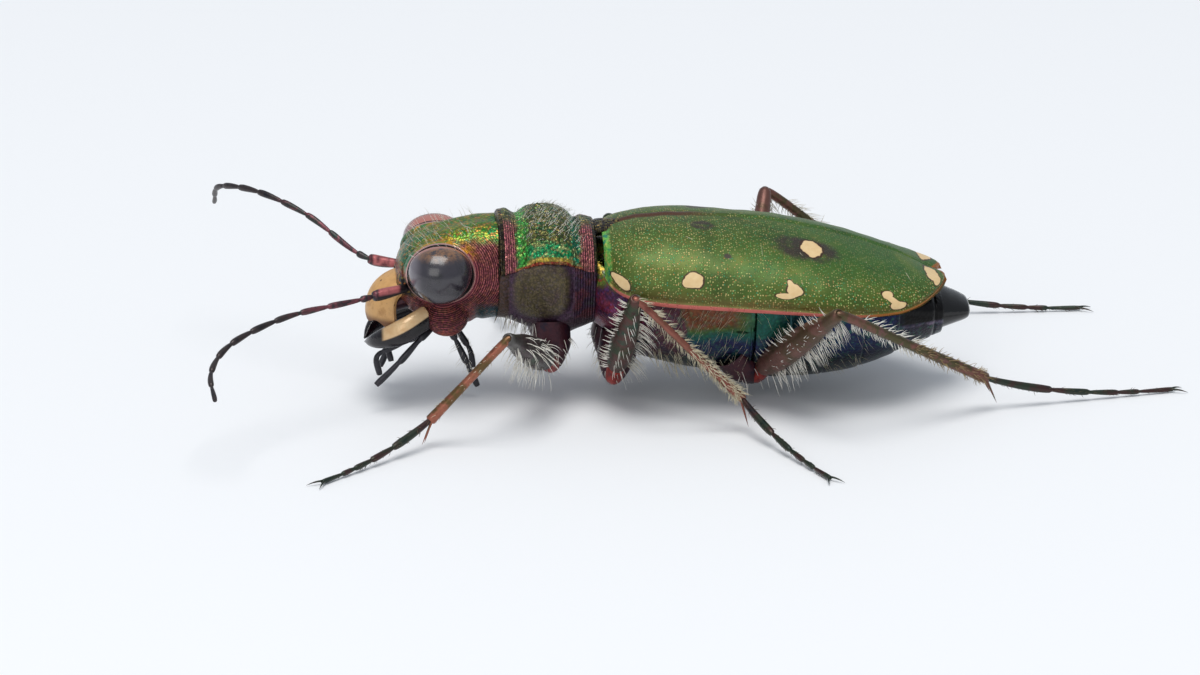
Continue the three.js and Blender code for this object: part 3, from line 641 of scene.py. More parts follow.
PALP_CUTS = [0, 0.25, 0.62, 1.0]
PALP_THICK = [0.095, 0.085, 0.08]
PALPS = {
    "maxilla_left": [[[-4.05, -0.62, 2.0], [-4.4, -0.86, 1.76], [-4.91, -1.05, 1.25], [-5.5, -1.2, 0.73]],
                     [[-4.3, -0.7, 1.85], [-4.9, -0.42, 1.5], [-5.42, -0.26, 1.15], [-5.36, -0.2, 0.68]]],
    "maxilla_right": [[[-4.05, 0.62, 2.0], [-4.4, 0.86, 1.72], [-5.02, 0.95, 1.06], [-5.28, 1.04, 0.5]],
                      [[-4.3, 0.7, 1.85], [-4.85, 0.45, 1.45], [-5.1, 0.34, 1.15], [-5.05, 0.3, 0.85]]],
    "labial_palp_left": [
        [[-3.75, -0.36, 2.0], [-3.52, -0.4, 1.55], [-3.21, -0.36, 0.85], [-3.0, -0.2, 0.34]],
    ],
    "labial_palp_right": [
        [[-3.62, 0.36, 2.0], [-3.37, 0.4, 1.48], [-3.12, 0.45, 1.0], [-3.06, 0.42, 0.6]],
    ],
}
for node, paths in PALPS.items():
    parts = []
    for places in paths:
        path = by_points(places)
        parts.append(limb("palp", path, jointed(PALP_CUTS, PALP_THICK), 60, 14, OUT))
    palp = join(parts, node + "_jointed")
    skins[palp.name] = skins["palp"]  # bristles root on the last branch
    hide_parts(node)
    print(palp.name, "branches", len(paths))

# %% [markdown]
# Each feeler has eleven joints: a stout first joint, a bead, and nine slender ones. One
# jointed limb makes them all, and it stands for the three lengths that the solids have.

# %% Feelers
ANTENNAE = {
    "left": [[-4.62, -0.86, 3.07], [-5.81, -1.45, 2.97], [-7.76, -2.6, 2.9],
             [-9.1, -3.9, 2.64], [-9.53, -5.05, 2.35], [-9.47, -6.1, 2.05]],
    "right": [[-4.62, 0.86, 3.1], [-5.62, 1.45, 3.16], [-6.91, 2.4, 3.94],
              [-8.09, 3.4, 4.29], [-9.02, 4.8, 4.05], [-9.12, 6.1, 3.28]],
}
JOINTS = np.array([0.98, 0.3, 0.86, 0.72, 0.72, 0.72, 0.68, 0.64, 0.6, 0.58, 0.56])
JOINT_THICK = [0.14, 0.085, 0.08, 0.08, 0.08, 0.083, 0.083, 0.08, 0.075, 0.07, 0.06]
for side, places in ANTENNAE.items():
    path = by_points(places)
    cuts = np.r_[0, np.cumsum(JOINTS)] / JOINTS.sum()
    feeler = limb(f"feeler_{side}", path, jointed(list(cuts), JOINT_THICK, 0.7), 330, 16)
    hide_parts(f"antenna_{side}_scape", f"antenna_{side}_base", f"antenna_{side}_tip")

# %% [markdown]
# Six long legs hold the body clear of the ground. Each has a hip cone in the thorax, a small
# red ring joint, a stout thigh, a slim shin with two spurs, and a foot of five joints with
# two claws. The joint places are the ones that the model's solids stand on.

# %% Legs
LEGS = {
    "front_left": ([-1.25, -0.7, 2.1], [-1.24, -0.9, 1.1], [-2.5, -3.74, 2.6], [-4.36, -3.8, 0.66],
                   [-7.03, -6.38, 0], 0.38),
    "middle_left": ([0.42, -0.78, 1.8], [0.24, -1.0, 0.76], [0.58, -3.1, 3.3], [3.13, -3.26, 0.8],
                    [4.75, -7.12, 0], 0.35),
    "hind_left": ([3.0, -1.3, 1.4], [3.61, -0.9, 0.66], [5.26, -4.38, 3.2], [9.14, -2.18, 0.8],
                  [13.85, -1.2, 0], 0.36),
    "front_right": ([-1.25, 0.7, 2.1], [-1.24, 0.9, 1.1], [-1.75, 3.6, 3.05], [-1.95, 5.4, 0.64],
                    [-2.75, 8.95, 0], 0.38),
    "middle_right": ([0.42, 0.78, 1.8], [0.24, 1.0, 0.76], [0.5, 3.2, 3.5], [1.6, 5.2, 0.76],
                     [3.2, 9.0, 0], 0.35),
    "hind_right": ([3.0, 1.3, 1.4], [3.61, 0.9, 0.66], [4.51, 4.5, 3.7], [8.1, 5.6, 0.72],
                   [12.68, 5.6, 0], 0.36),
}
FLOOR_GAP = 0.03
FOOT_AXIS = 0.085
FOOT_BEND = 0.42
FOOT_JOINTS = [0, 0.36, 0.56, 0.71, 0.82, 1.0]
SHIN_THICK = {"front": 0.105, "middle": 0.085, "hind": 0.115}
PAIRS = tuple(SHIN_THICK)
leg_pieces = {}

# %% Building the six legs
for name, (root, hip, knee, ankle, foot, thigh) in LEGS.items():
    root, hip, knee, ankle, foot = (np.array(p, float) for p in (root, hip, knee, ankle, foot))
    foot[2] = FOOT_AXIS
    bend = ankle + (foot - ankle) * FOOT_BEND
    bend[2] = FOOT_AXIS
    shin = unit(ankle - knee)
    shin_thick = SHIN_THICK[name.split("_")[0]]
    thigh_start = hip + (knee - hip) * 0.1
    over_knee = knee + unit(knee - hip) * 0.06
    paths = {
        "coxa": straight(root, hip + unit(hip - root) * 0.1),
        "trochanter": by_points([hip - unit(hip - root) * 0.15, hip, hip + (knee - hip) * 0.17]),
        "femur": straight(thigh_start, over_knee),
        "tibia": by_points([knee - shin * 0.1 + unit(hip - knee) * 0.1, knee + shin * 0.08,
                            (knee + ankle) / 2, ankle + shin * 0.03]),
        "tarsus": evened(arc(ankle - shin * 0.06, bend, foot)(np.linspace(0, 1, 80))),
    }
    sizes = {
        "coxa": [[0, 0.46, 0.44], [0.5, 0.47, 0.44], [0.85, 0.32, 0.32], [1, 0.22, 0.22]],
        "trochanter": [[0, 0.16, 0.16], [0.35, 0.25, 0.23], [0.8, 0.23, 0.22], [1, 0.16, 0.16]],
        "femur": [[0, thigh * 0.55, 0.18], [0.1, thigh * 0.82, 0.26], [0.3, thigh, 0.31],
                  [0.6, thigh * 0.84, 0.27], [0.85, 0.19, 0.19], [0.93, 0.17, 0.18],
                  [0.98, 0.15, 0.15], [1, 0.09, 0.09]],
        "tibia": [[place, thick, thick] for place, thick in (
            (0, 0.07), (0.02, 0.11), (0.06, shin_thick), (0.5, shin_thick),
            (0.9, shin_thick + 0.02), (0.985, shin_thick + 0.025), (1, 0.08))],
        "tarsus": jointed(FOOT_JOINTS, [0.098, 0.08, 0.07, 0.065, 0.058], 0.74),
    }
    pieces = {}
    for part, path in paths.items():
        up = AHEAD if part == "coxa" else UP
        rings = 120 if part == "tarsus" else 60
        pieces[part] = limb(f"{part}_{name}_skin", path, sizes[part], rings, 24, up)
    shin_side = unit(np.cross(UP, shin))
    spurs = [pieces["tibia"]]
    for spread, drop in ((-0.5, 0.5), (0.5, 0.3)):
        start = ankle - shin * 0.1 + shin_side * spread * 0.12
        end = start + shin * (0.62 - drop * 0.7) - UP * drop + shin_side * spread * 0.3
        end[2] = max(end[2], FLOOR_GAP)
        spurs.append(spike("spur", start, end, 0.035))
    pieces["tibia"] = join(spurs, f"tibia_{name}_skin")
    ahead = unit(foot - bend)
    beside = np.cross(UP, ahead)
    claws = [pieces["tarsus"]]
    for spread in (-0.5, 0.5):
        start = foot - ahead * 0.1
        end = start + ahead * 0.42 + beside * spread * 0.42 + UP * (FLOOR_GAP - FOOT_AXIS)
        claws.append(spike("claw", start, end, 0.03, bow=0.06))
    pieces["tarsus"] = join(claws, f"tarsus_{name}_skin")
    for part, piece in pieces.items():
        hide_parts(f"{part}_{name}")
    leg_pieces[name] = pieces
print("legs", len(leg_pieces))

# %% [markdown]
# Materials come from a few node groups. All patterns read Object coordinates, and a Mapping
# node turns metres into millimetres, so a scale says how many details fit in a millimetre.
# Short helpers add a node and join its inputs, which keeps each finish readable below.

# %% Node helpers
def start_material(name, roughness=0.4, metallic=0.0, **plain):
    material = bpy.data.materials.new(name)
    material.use_nodes = True
    tree = material.node_tree
    shader = tree.nodes["Principled BSDF"]
    shader.inputs["Roughness"].default_value = roughness
    shader.inputs["Metallic"].default_value = metallic
    for socket, value in plain.items():
        shader.inputs[socket.replace("_", " ")].default_value = value
    return material, tree, shader


def add(tree, kind, inputs=None, **settings):
    node = tree.nodes.new(kind)
    for key, value in settings.items():
        setattr(node, key, value)
    for key, value in (inputs or {}).items():
        socket = node.inputs[key]
        if isinstance(value, bpy.types.NodeSocket):
            tree.links.new(value, socket)
        else:
            socket.default_value = value
    return node


# %% Sums
def maths(tree, operation, a, b=None, c=None):
    inputs = {k: v for k, v in enumerate((a, b, c)) if v is not None}
    return add(tree, "ShaderNodeMath", inputs, operation=operation).outputs[0]


def vectors(tree, operation, *values):
    return add(tree, "ShaderNodeVectorMath", dict(enumerate(values)), operation=operation)


def times(tree, first, *others):
    for other in others:
        first = maths(tree, "MULTIPLY", first, other)
    return first


# %% Colours
GAMMA = 2.2


def colour(r, g, b):
    return tuple((c / 255) ** GAMMA for c in (r, g, b)) + (1.0,)


def ramp(tree, factor, stops, mode="EASE"):
    node = add(tree, "ShaderNodeValToRGB", {"Fac": factor})
    node.color_ramp.interpolation = mode
    elements = node.color_ramp.elements
    while len(elements) < len(stops):
        elements.new(0.5)
    for element, (place, value) in zip(elements, stops):
        element.position = place
        element.color = value
    return node.outputs["Color"]


def blend(tree, factor, a, b):
    return add(tree, "ShaderNodeMix", {0: factor, 6: a, 7: b}, data_type="RGBA").outputs[2]


# %% Masks and places
def between(tree, value, low, high):
    return add(tree, "ShaderNodeMapRange", {"Value": value, "From Min": low, "From Max": high},
               interpolation_type="SMOOTHSTEP").outputs["Result"]


def millimetres(tree):
    coordinates = add(tree, "ShaderNodeTexCoord").outputs["Object"]
    mapped = add(tree, "ShaderNodeMapping", {"Vector": coordinates})
    mapped.inputs["Location"].default_value = [-m for m in MOVE]
    mapped.inputs["Scale"].default_value = [1 / MM] * 3
    return mapped.outputs["Vector"]


def axes(tree, vector):
    return add(tree, "ShaderNodeSeparateXYZ", {"Vector": vector}).outputs


def own_uv(tree):
    return axes(tree, add(tree, "ShaderNodeUVMap", uv_map="UVMap").outputs["UV"])


def noise(tree, vector, scale, detail=3.0, rough=0.5, distortion=0.0):
    return add(tree, "ShaderNodeTexNoise", {"Vector": vector, "Scale": scale, "Detail": detail,
                                            "Roughness": rough, "Distortion": distortion})


# %% [markdown]
# Fine pits cover the armour, and each pit shows another colour, gold, orange or teal, partly its own colour
# and partly a painted glint. One group draws them for every plate from the cells of a Voronoi texture. It
# puts out the mask of the pits, a random tint for each, and a height for a Bump node.

# %% The pit group
def new_group(name, ins, outs):
    group = bpy.data.node_groups.new(name, "ShaderNodeTree")
    for label, kind in ins:
        group.interface.new_socket(label, in_out="INPUT", socket_type=kind)
    for label, kind in outs:
        group.interface.new_socket(label, in_out="OUTPUT", socket_type=kind)
    return group, add(group, "NodeGroupInput").outputs, add(group, "NodeGroupOutput")


VALUE, VECTOR = "NodeSocketFloat", "NodeSocketVector"
pits, inside, ends = new_group(
    "Armour pits", [("Vector", VECTOR), ("Pits per mm", VALUE), ("Pit size", VALUE)],
    [("Mask", VALUE), ("Tint", VALUE), ("Height", VALUE)])
cells = add(pits, "ShaderNodeTexVoronoi", {"Vector": inside["Vector"], "Scale": inside["Pits per mm"],
                                           "Randomness": 0.7})
pit_floor = times(pits, inside["Pit size"], 0.5)
mask = between(pits, cells.outputs["Distance"], inside["Pit size"], pit_floor)
tint = add(pits, "ShaderNodeSeparateColor", {"Color": cells.outputs["Color"]}).outputs[0]
grain = noise(pits, inside["Vector"], 30, 2).outputs["Fac"]
height = maths(pits, "SUBTRACT", times(pits, grain, 0.5), mask)
for label, value in (("Mask", mask), ("Tint", tint), ("Height", height)):
    pits.links.new(value, ends.inputs[label])
print("nodes in the pit group", len(pits.nodes))

# %% [markdown]
# Head and shield are grained like shagreen: tiny humps, each with its own tone and a painted glint, and
# painted shade that darkens the creases between them. The second group makes humps, a mask of the creases for
# that shade, and a tint for each hump.

# %% The grain group
grains, inside, ends = new_group("Armour grains", [("Vector", VECTOR), ("Grains per mm", VALUE)],
                                 [("Crease", VALUE), ("Tint", VALUE), ("Height", VALUE)])
swirl = noise(grains, inside["Vector"], 3.0, 2).outputs["Color"]
moved = vectors(grains, "MULTIPLY", swirl, (0.12, 0.12, 0.12)).outputs[0]
moved = vectors(grains, "ADD", inside["Vector"], moved).outputs[0]
humps = add(grains, "ShaderNodeTexVoronoi", {"Vector": moved, "Scale": inside["Grains per mm"],
                                             "Randomness": 0.9})
# Mask of the creases between humps, used for painted shade.
crease = between(grains, humps.outputs["Distance"], 0.32, 0.62)
tint = add(grains, "ShaderNodeSeparateColor", {"Color": humps.outputs["Color"]}).outputs[0]
height = maths(grains, "SUBTRACT", 1.0, humps.outputs["Distance"])
for label, value in (("Crease", crease), ("Tint", tint), ("Height", height)):
    grains.links.new(value, ends.inputs[label])
print("nodes in the grain group", len(grains.nodes))


# %% [markdown]
# A material places a group with its own values, turns a height into bumps, and picks its
# colours from a palette: a few tones that a noise value goes through.

# %% Placing a group, and wearing a finish
def use(tree, group, vector, **values):
    node = add(tree, "ShaderNodeGroup", node_tree=group)
    tree.links.new(vector, node.inputs["Vector"])
    for label, value in values.items():
        node.inputs[label.replace("_", " ")].default_value = value
    return node.outputs


def bumped(tree, shader, height, distance, strength=1.0):
    node = add(tree, "ShaderNodeBump", {"Height": height, "Distance": distance * MM, "Strength": strength})
    tree.links.new(node.outputs["Normal"], shader.inputs["Normal"])


def palette(tree, factor, tones, low=0.3, high=0.7, mode="EASE"):
    places = np.linspace(low, high, len(tones))
    return ramp(tree, factor, [(place, colour(*tone)) for place, tone in zip(places, tones)], mode)


def wear(piece, material):
    piece.data.materials.clear()
    piece.data.materials.append(material)


# %% [markdown]
# The wing covers carry the pattern that names the species: cream spots with thin brown edges,
# a dark patch round the spot on the disc, a coppery rim and seam. The pattern follows the
# surface, so it reads the sheet's own UV map: U runs from the root to the tip and V from the
# seam to the side edge. Each spot is an oval given by its place, half sizes and slant, and
# noise makes its border uneven. Both covers wear the same material.

# %% Spots of the wing covers
CREAM = colour(226, 200, 152)
BROWN = colour(62, 36, 24)
SPOTS = [
    (0.34, 0.868, 0.19, 0.07, 0.25), (2.05, 0.772, 0.22, 0.07, 0.0), (1.9, 0.80, 0.14, 0.04, 0.0),
    (4.43, 0.770, 0.19, 0.06, 0.0), (4.36, 0.72, 0.08, 0.05, 0.2), (4.22, 0.835, 0.24, 0.028, -0.6),
    (4.97, 0.30, 0.245, 0.09, 0.0), (6.71, 0.715, 0.13, 0.055, 0.0), (6.84, 0.80, 0.115, 0.11, 0.6),
    (6.96, 0.885, 0.20, 0.06, 0.0), (8.00, 0.36, 0.16, 0.24, 0.0), (8.06, 0.62, 0.10, 0.20, 0.0),
]
DARKS = [(4.85, 0.315, 0.78, 0.125), (2.39, 0.171, 0.28, 0.06), (2.9, 0.5, 0.09, 0.025)]
ARC_MM = 3.3  # from the seam over to the side edge
MELT = 0.3


def oval(tree, along, across, wobble, x, v, half_x, half_v, slant=0.0):
    dx = maths(tree, "SUBTRACT", along, x)
    dv = maths(tree, "SUBTRACT", across, v)
    dx = maths(tree, "DIVIDE", maths(tree, "MULTIPLY_ADD", dv, -slant * ARC_MM, dx), half_x)
    dv = maths(tree, "DIVIDE", dv, half_v)
    far = maths(tree, "SQRT", maths(tree, "ADD", times(tree, dx, dx), times(tree, dv, dv)))
    return maths(tree, "ADD", far, wobble)


def nearest(tree, along, across, wobble, ovals):
    far = oval(tree, along, across, wobble, *ovals[0])
    for one in ovals[1:]:
        far = maths(tree, "SMOOTH_MIN", far, oval(tree, along, across, wobble, *one), MELT)
    return far


# %% Material of the wing covers
def cover_material():
    material, tree, shader = start_material("green wing cover", 0.42, 0.4)
    vector = millimetres(tree)
    uv = own_uv(tree)
    turn = maths(tree, "COSINE", times(tree, uv["X"], math.pi))
    along = maths(tree, "MULTIPLY_ADD", turn, -COVER_LENGTH / 2, COVER_LENGTH / 2)
    across = uv["Y"]
    wobble = maths(tree, "MULTIPLY_ADD", noise(tree, vector, 5, 4).outputs["Fac"], 0.7, -0.35)
    far = nearest(tree, along, across, wobble, SPOTS)
    cream = between(tree, far, 1.04, 0.96)
    edge = between(tree, far, 1.25, 1.08)
    dark = between(tree, nearest(tree, along, across, wobble, DARKS), 1.25, 0.75)

    cloud = noise(tree, vector, 1.1, 4, 0.6).outputs["Fac"]
    green = palette(tree, cloud, [(42, 78, 26), (58, 96, 34), (84, 108, 40)])
    front = between(tree, along, 7.0, 0.8)
    side = between(tree, across, 0.25, 0.9)
    brown = times(tree, noise(tree, vector, 2.2, 4).outputs["Fac"], maths(tree, "MAXIMUM", front, side))
    green = blend(tree, times(tree, brown, 0.55), green, colour(104, 92, 38))
    spots = use(tree, pits, vector, Pits_per_mm=17.0, Pit_size=0.40)
    # The pits' tints, with a painted glint that is stronger towards the front and the side edge.
    sparks = palette(tree, spots["Tint"], [(40, 150, 120), (120, 186, 96), (214, 208, 130), (230, 206, 140),
                                           (206, 140, 80)], 0.0, 1.0, "LINEAR")
    strong = maths(tree, "MULTIPLY_ADD", maths(tree, "MAXIMUM", front, side), 0.55, 0.2)
    base = blend(tree, times(tree, spots["Mask"], strong), green, sparks)
    low = times(tree, between(tree, across, 0.84, 0.95), noise(tree, vector, 4, 3).outputs["Fac"])
    base = blend(tree, low, base, colour(98, 70, 34))
    rim = between(tree, across, 0.974, 0.982)
    tip_rim = maths(tree, "MAXIMUM", rim, between(tree, along, 8.28, 8.30))
    rim_colour = blend(tree, between(tree, along, 5.6, 6.6), colour(176, 92, 84), colour(150, 92, 36))
    base = blend(tree, tip_rim, base, rim_colour)
    seam = between(tree, across, 0.04, 0.018)
    base = blend(tree, times(tree, seam, between(tree, along, 3.2, 1.8)), base, colour(84, 54, 38))
    # Painted highlight: a teal, green and gold strip along the front edge of each cover.
    root = between(tree, maths(tree, "ADD", along, times(tree, wobble, 0.3)), 0.2, 0.08)
    glint = palette(tree, noise(tree, vector, 7, 2).outputs["Fac"],
                    [(20, 130, 110), (120, 200, 90), (230, 200, 120)])
    base = blend(tree, times(tree, root, 0.8), base, glint)
    smoke = times(tree, dark, between(tree, noise(tree, vector, 3.5, 4, 0.6).outputs["Fac"], 0.2, 0.55))
    base = blend(tree, times(tree, smoke, 0.85), base, colour(54, 34, 42))
    base = blend(tree, edge, base, BROWN)
    mottled = blend(tree, noise(tree, vector, 8, 3).outputs["Fac"], CREAM, colour(206, 170, 118))
    base = blend(tree, cream, base, mottled)
    beads = add(tree, "ShaderNodeTexVoronoi", {"Vector": vector, "Scale": 9.0,
                                               "Randomness": 0.2}).outputs["Distance"]
    beads = times(tree, between(tree, beads, 0.3, 0.2), between(tree, across, 0.93, 0.94))
    beads = times(tree, beads, between(tree, across, 0.965, 0.955))
    base = blend(tree, times(tree, beads, between(tree, along, 5.8, 6.6)), base, CREAM)
    tree.links.new(base, shader.inputs["Base Color"])
    tree.links.new(maths(tree, "MULTIPLY_ADD", cream, -0.4, 0.4), shader.inputs["Metallic"])
    relief = times(tree, spots["Height"], maths(tree, "MULTIPLY_ADD", cream, -0.8, 1.0))
    bumped(tree, shader, relief, 0.010)
    return material


cover_finish = cover_material()
for side in ("left", "right"):
    wear(bpy.data.objects[f"wing_cover_{side}"], cover_finish)
print("spots on each cover", len(SPOTS))

# %% [markdown]
# The head and the shield shimmer from green through gold to copper pink. The change of colour
# follows the place on the plate: green above, copper on the cheeks and behind the eyes. Fine
# parallel wrinkles run round the eyes and over the collars, from a Wave texture.

# %% Grained armour
CREASE_SHADE = colour(24, 22, 20)


def armour(name, tones, roughness=0.3, metallic=0.65, cloud_scale=2.0, per_mm=15.0):
    material, tree, shader = start_material(name, roughness, metallic)
    vector = millimetres(tree)
    cloud = noise(tree, vector, cloud_scale, 5, 0.65, 0.6).outputs["Fac"]
    base = palette(tree, cloud, tones)
    humps = use(tree, grains, vector, Grains_per_mm=per_mm)
    return material, tree, shader, vector, base, humps


def add_painted_glints_shade_and_bumps(tree, shader, base, humps, glints, strength=0.5, extra=None, depth=0.014, crease=0.75):
    # Random humps take a brighter tone, partly their own colour and partly a painted glint.
    glint = palette(tree, humps["Tint"], glints, 0.1, 0.9, "LINEAR")
    bright = between(tree, humps["Tint"], 0.45, 0.95)
    base = blend(tree, times(tree, bright, strength), base, glint)
    # Painted shade: the creases between humps are darkened.
    base = blend(tree, times(tree, humps["Crease"], crease), base, CREASE_SHADE)
    tree.links.new(base, shader.inputs["Base Color"])
    height = humps["Height"] if extra is None else maths(tree, "ADD", humps["Height"], extra)
    bumped(tree, shader, height, depth)


# %% How far a place is from the eye
def eye_distance(tree, vector):
    xyz = axes(tree, vector)
    right = maths(tree, "GREATER_THAN", xyz["Y"], 0.0)
    level = maths(tree, "MULTIPLY_ADD", right, -EYE_LIFT, xyz["Z"])
    width = maths(tree, "ABSOLUTE", xyz["Y"])
    place = add(tree, "ShaderNodeCombineXYZ", {"X": xyz["X"], "Y": width, "Z": level}).outputs[0]
    offset = vectors(tree, "SUBTRACT", place, EYE).outputs[0]
    scaled = vectors(tree, "DIVIDE", offset, EYE_SIZE).outputs[0]
    return vectors(tree, "LENGTH", scaled).outputs["Value"], axes(tree, scaled)


# %% Head material
def head_material():
    material, tree, shader, vector, base, humps = armour(
        "head armour", [(16, 104, 52), (56, 146, 44), (134, 146, 46), (30, 134, 66), (126, 112, 44)],
        cloud_scale=2.6)
    xyz = axes(tree, vector)
    far, _ = eye_distance(tree, vector)
    wob = maths(tree, "MULTIPLY_ADD", noise(tree, vector, 2.5, 3).outputs["Fac"], 0.7, -0.35)
    rough = noise(tree, vector, 5, 3).outputs["Fac"]
    ripple = add(tree, "ShaderNodeCombineXYZ", {"X": far, "Y": times(tree, rough, 0.25), "Z": 0.0})
    lines = add(tree, "ShaderNodeTexWave", {"Vector": ripple.outputs[0], "Scale": 4.6, "Distortion": 2.4,
                                            "Detail": 3.0, "Detail Scale": 2.0}).outputs["Fac"]
    rear = between(tree, maths(tree, "MULTIPLY_ADD", wob, 0.5, xyz["X"]), -3.75, -3.3)
    low = between(tree, maths(tree, "MULTIPLY_ADD", wob, 0.5, xyz["Z"]), 4.28, 4.02)
    pink = blend(tree, lines, colour(112, 46, 66), colour(206, 120, 122))
    base = blend(tree, times(tree, rear, low), base, pink)
    orange = times(tree, between(tree, far, 1.5, 1.2), between(tree, xyz["Z"], 3.7, 4.0))
    gold = blend(tree, rough, colour(196, 84, 40), colour(226, 186, 50))
    base = blend(tree, times(tree, orange, between(tree, rough, 0.42, 0.58)), base, gold)
    teal = times(tree, between(tree, xyz["X"], -4.4, -4.6), between(tree, xyz["Z"], 3.3, 3.5))
    base = blend(tree, times(tree, teal, 0.8), base, colour(20, 112, 84))
    cheek = between(tree, maths(tree, "MULTIPLY_ADD", wob, 0.3, xyz["Z"]), 3.1, 2.8)
    base = blend(tree, cheek, base, blend(tree, lines, colour(66, 24, 40), colour(158, 82, 88)))
    rim = times(tree, between(tree, xyz["Z"], 2.02, 1.9), between(tree, xyz["X"], -3.2, -3.5))
    base = blend(tree, times(tree, rim, 0.8), base, colour(158, 70, 56))
    neck = times(tree, between(tree, xyz["Z"], 2.75, 2.45), between(tree, xyz["X"], -3.2, -2.95))
    base = blend(tree, neck, base, colour(18, 64, 74))
    front = times(tree, between(tree, xyz["X"], -4.66, -4.8), between(tree, xyz["Z"], 3.6, 3.4))
    base = blend(tree, front, base, colour(122, 62, 48))
    socket = times(tree, between(tree, xyz["X"], -4.5, -4.62), between(tree, xyz["Z"], 3.4, 3.25))
    base = blend(tree, times(tree, socket, between(tree, xyz["Z"], 2.8, 2.95)), base, colour(20, 16, 24))
    base = blend(tree, between(tree, far, 1.11, 1.095), base, colour(200, 156, 150))
    base = blend(tree, between(tree, far, 1.065, 1.05), base, colour(9, 9, 11))
    zone = maths(tree, "MAXIMUM", times(tree, rear, low), cheek)
    # Strength of the painted glints: weaker on the pink zones, none close round the eye.
    sparkle = times(tree, maths(tree, "MULTIPLY_ADD", zone, -0.46, 0.6), between(tree, far, 1.17, 1.25))
    add_painted_glints_shade_and_bumps(tree, shader, base, humps, [(24, 170, 100), (96, 206, 64), (230, 206, 70), (226, 130, 66)],
                  sparkle, times(tree, lines, zone, 2.0), 0.014,
                  times(tree, between(tree, far, 1.17, 1.25), 0.5))
    return material


wear(head, head_material())
print("head wears", head.data.materials[0].name)

# %% [markdown]
# The shield has a dark front rim, pink collars with fine ribs, and a wrinkled disc that goes
# from green and gold above to emerald and an orange line at its side border.

# %% Shield material
def shield_material():
    material, tree, shader, vector, base, humps = armour(
        "shield armour", [(22, 80, 50), (54, 90, 44), (96, 96, 50), (30, 104, 68), (84, 70, 50)],
        cloud_scale=3.2)
    xyz = axes(tree, vector)
    wob = maths(tree, "MULTIPLY_ADD", noise(tree, vector, 3.5, 3).outputs["Fac"], 0.3, -0.15)
    x = maths(tree, "ADD", xyz["X"], wob)
    width = maths(tree, "ABSOLUTE", xyz["Y"])
    disc = times(tree, between(tree, x, -2.0, -1.85), between(tree, x, -0.58, -0.7))
    turn = maths(tree, "ABSOLUTE", maths(tree, "SUBTRACT", own_uv(tree)["X"], 0.5))
    border = maths(tree, "ABSOLUTE", maths(tree, "SUBTRACT", turn, 0.25))
    border = maths(tree, "MULTIPLY_ADD", wob, 0.06, border)
    emerald = times(tree, between(tree, border, 0.095, 0.065), disc)
    base = blend(tree, times(tree, emerald, 0.9), base, colour(14, 150, 92))
    gold = times(tree, between(tree, border, 0.030, 0.022), disc)
    base = blend(tree, times(tree, gold, 0.8), base, colour(212, 172, 56))
    ends_green = times(tree, between(tree, x, -1.75, -1.92), between(tree, x, -2.12, -2.0))
    base = blend(tree, ends_green, base, colour(70, 168, 70))
    rear_green = times(tree, between(tree, x, -0.84, -0.72), between(tree, x, -0.56, -0.62))
    base = blend(tree, rear_green, base, colour(20, 132, 100))
    line = between(tree, border, 0.013, 0.009)
    base = blend(tree, line, base, colour(150, 62, 44))
    ribs = add(tree, "ShaderNodeTexWave", {"Vector": vector, "Scale": 5.5, "Distortion": 2.0, "Detail": 2.0,
                                           "Detail Scale": 1.5}, bands_direction="X").outputs["Fac"]
    pink = blend(tree, ribs, colour(104, 36, 62), colour(216, 128, 132))
    front_pink = times(tree, between(tree, x, -2.08, -2.16), between(tree, width, 0.3, 0.8))
    rear_pink = times(tree, between(tree, x, -0.58, -0.5), between(tree, width, 0.2, 0.6))
    collar = maths(tree, "MAXIMUM", front_pink, rear_pink)
    base = blend(tree, collar, base, pink)
    rim = maths(tree, "MAXIMUM", between(tree, xyz["X"], -2.37, -2.40), between(tree, xyz["X"], -0.27, -0.24))
    base = blend(tree, rim, base, colour(44, 36, 32))
    wrinkles = add(tree, "ShaderNodeTexWave", {"Vector": vector, "Scale": 3.0, "Distortion": 9.0,
                                               "Detail": 3.0, "Detail Scale": 1.2},
                   bands_direction="Y").outputs["Fac"]
    extra = maths(tree, "ADD", times(tree, wrinkles, 1.4), times(tree, ribs, collar))
    add_painted_glints_shade_and_bumps(tree, shader, base, humps,
                  [(20, 180, 116), (60, 200, 126), (210, 200, 110), (176, 146, 92)],
                  maths(tree, "MULTIPLY_ADD", collar, -0.4, 0.55), extra, 0.02, 0.6)
    return material


wear(pronotum, shield_material())
wear(scutellum, pronotum.data.materials[0])
print("scutellum wears", scutellum.data.materials[0].name)

# %% [markdown]
# The side of the front thorax is one olive plate with violet borders. Behind it, towards the
# wing covers, the plates turn copper and magenta, and the belly goes through copper and green
# to teal, violet and nearly black below.

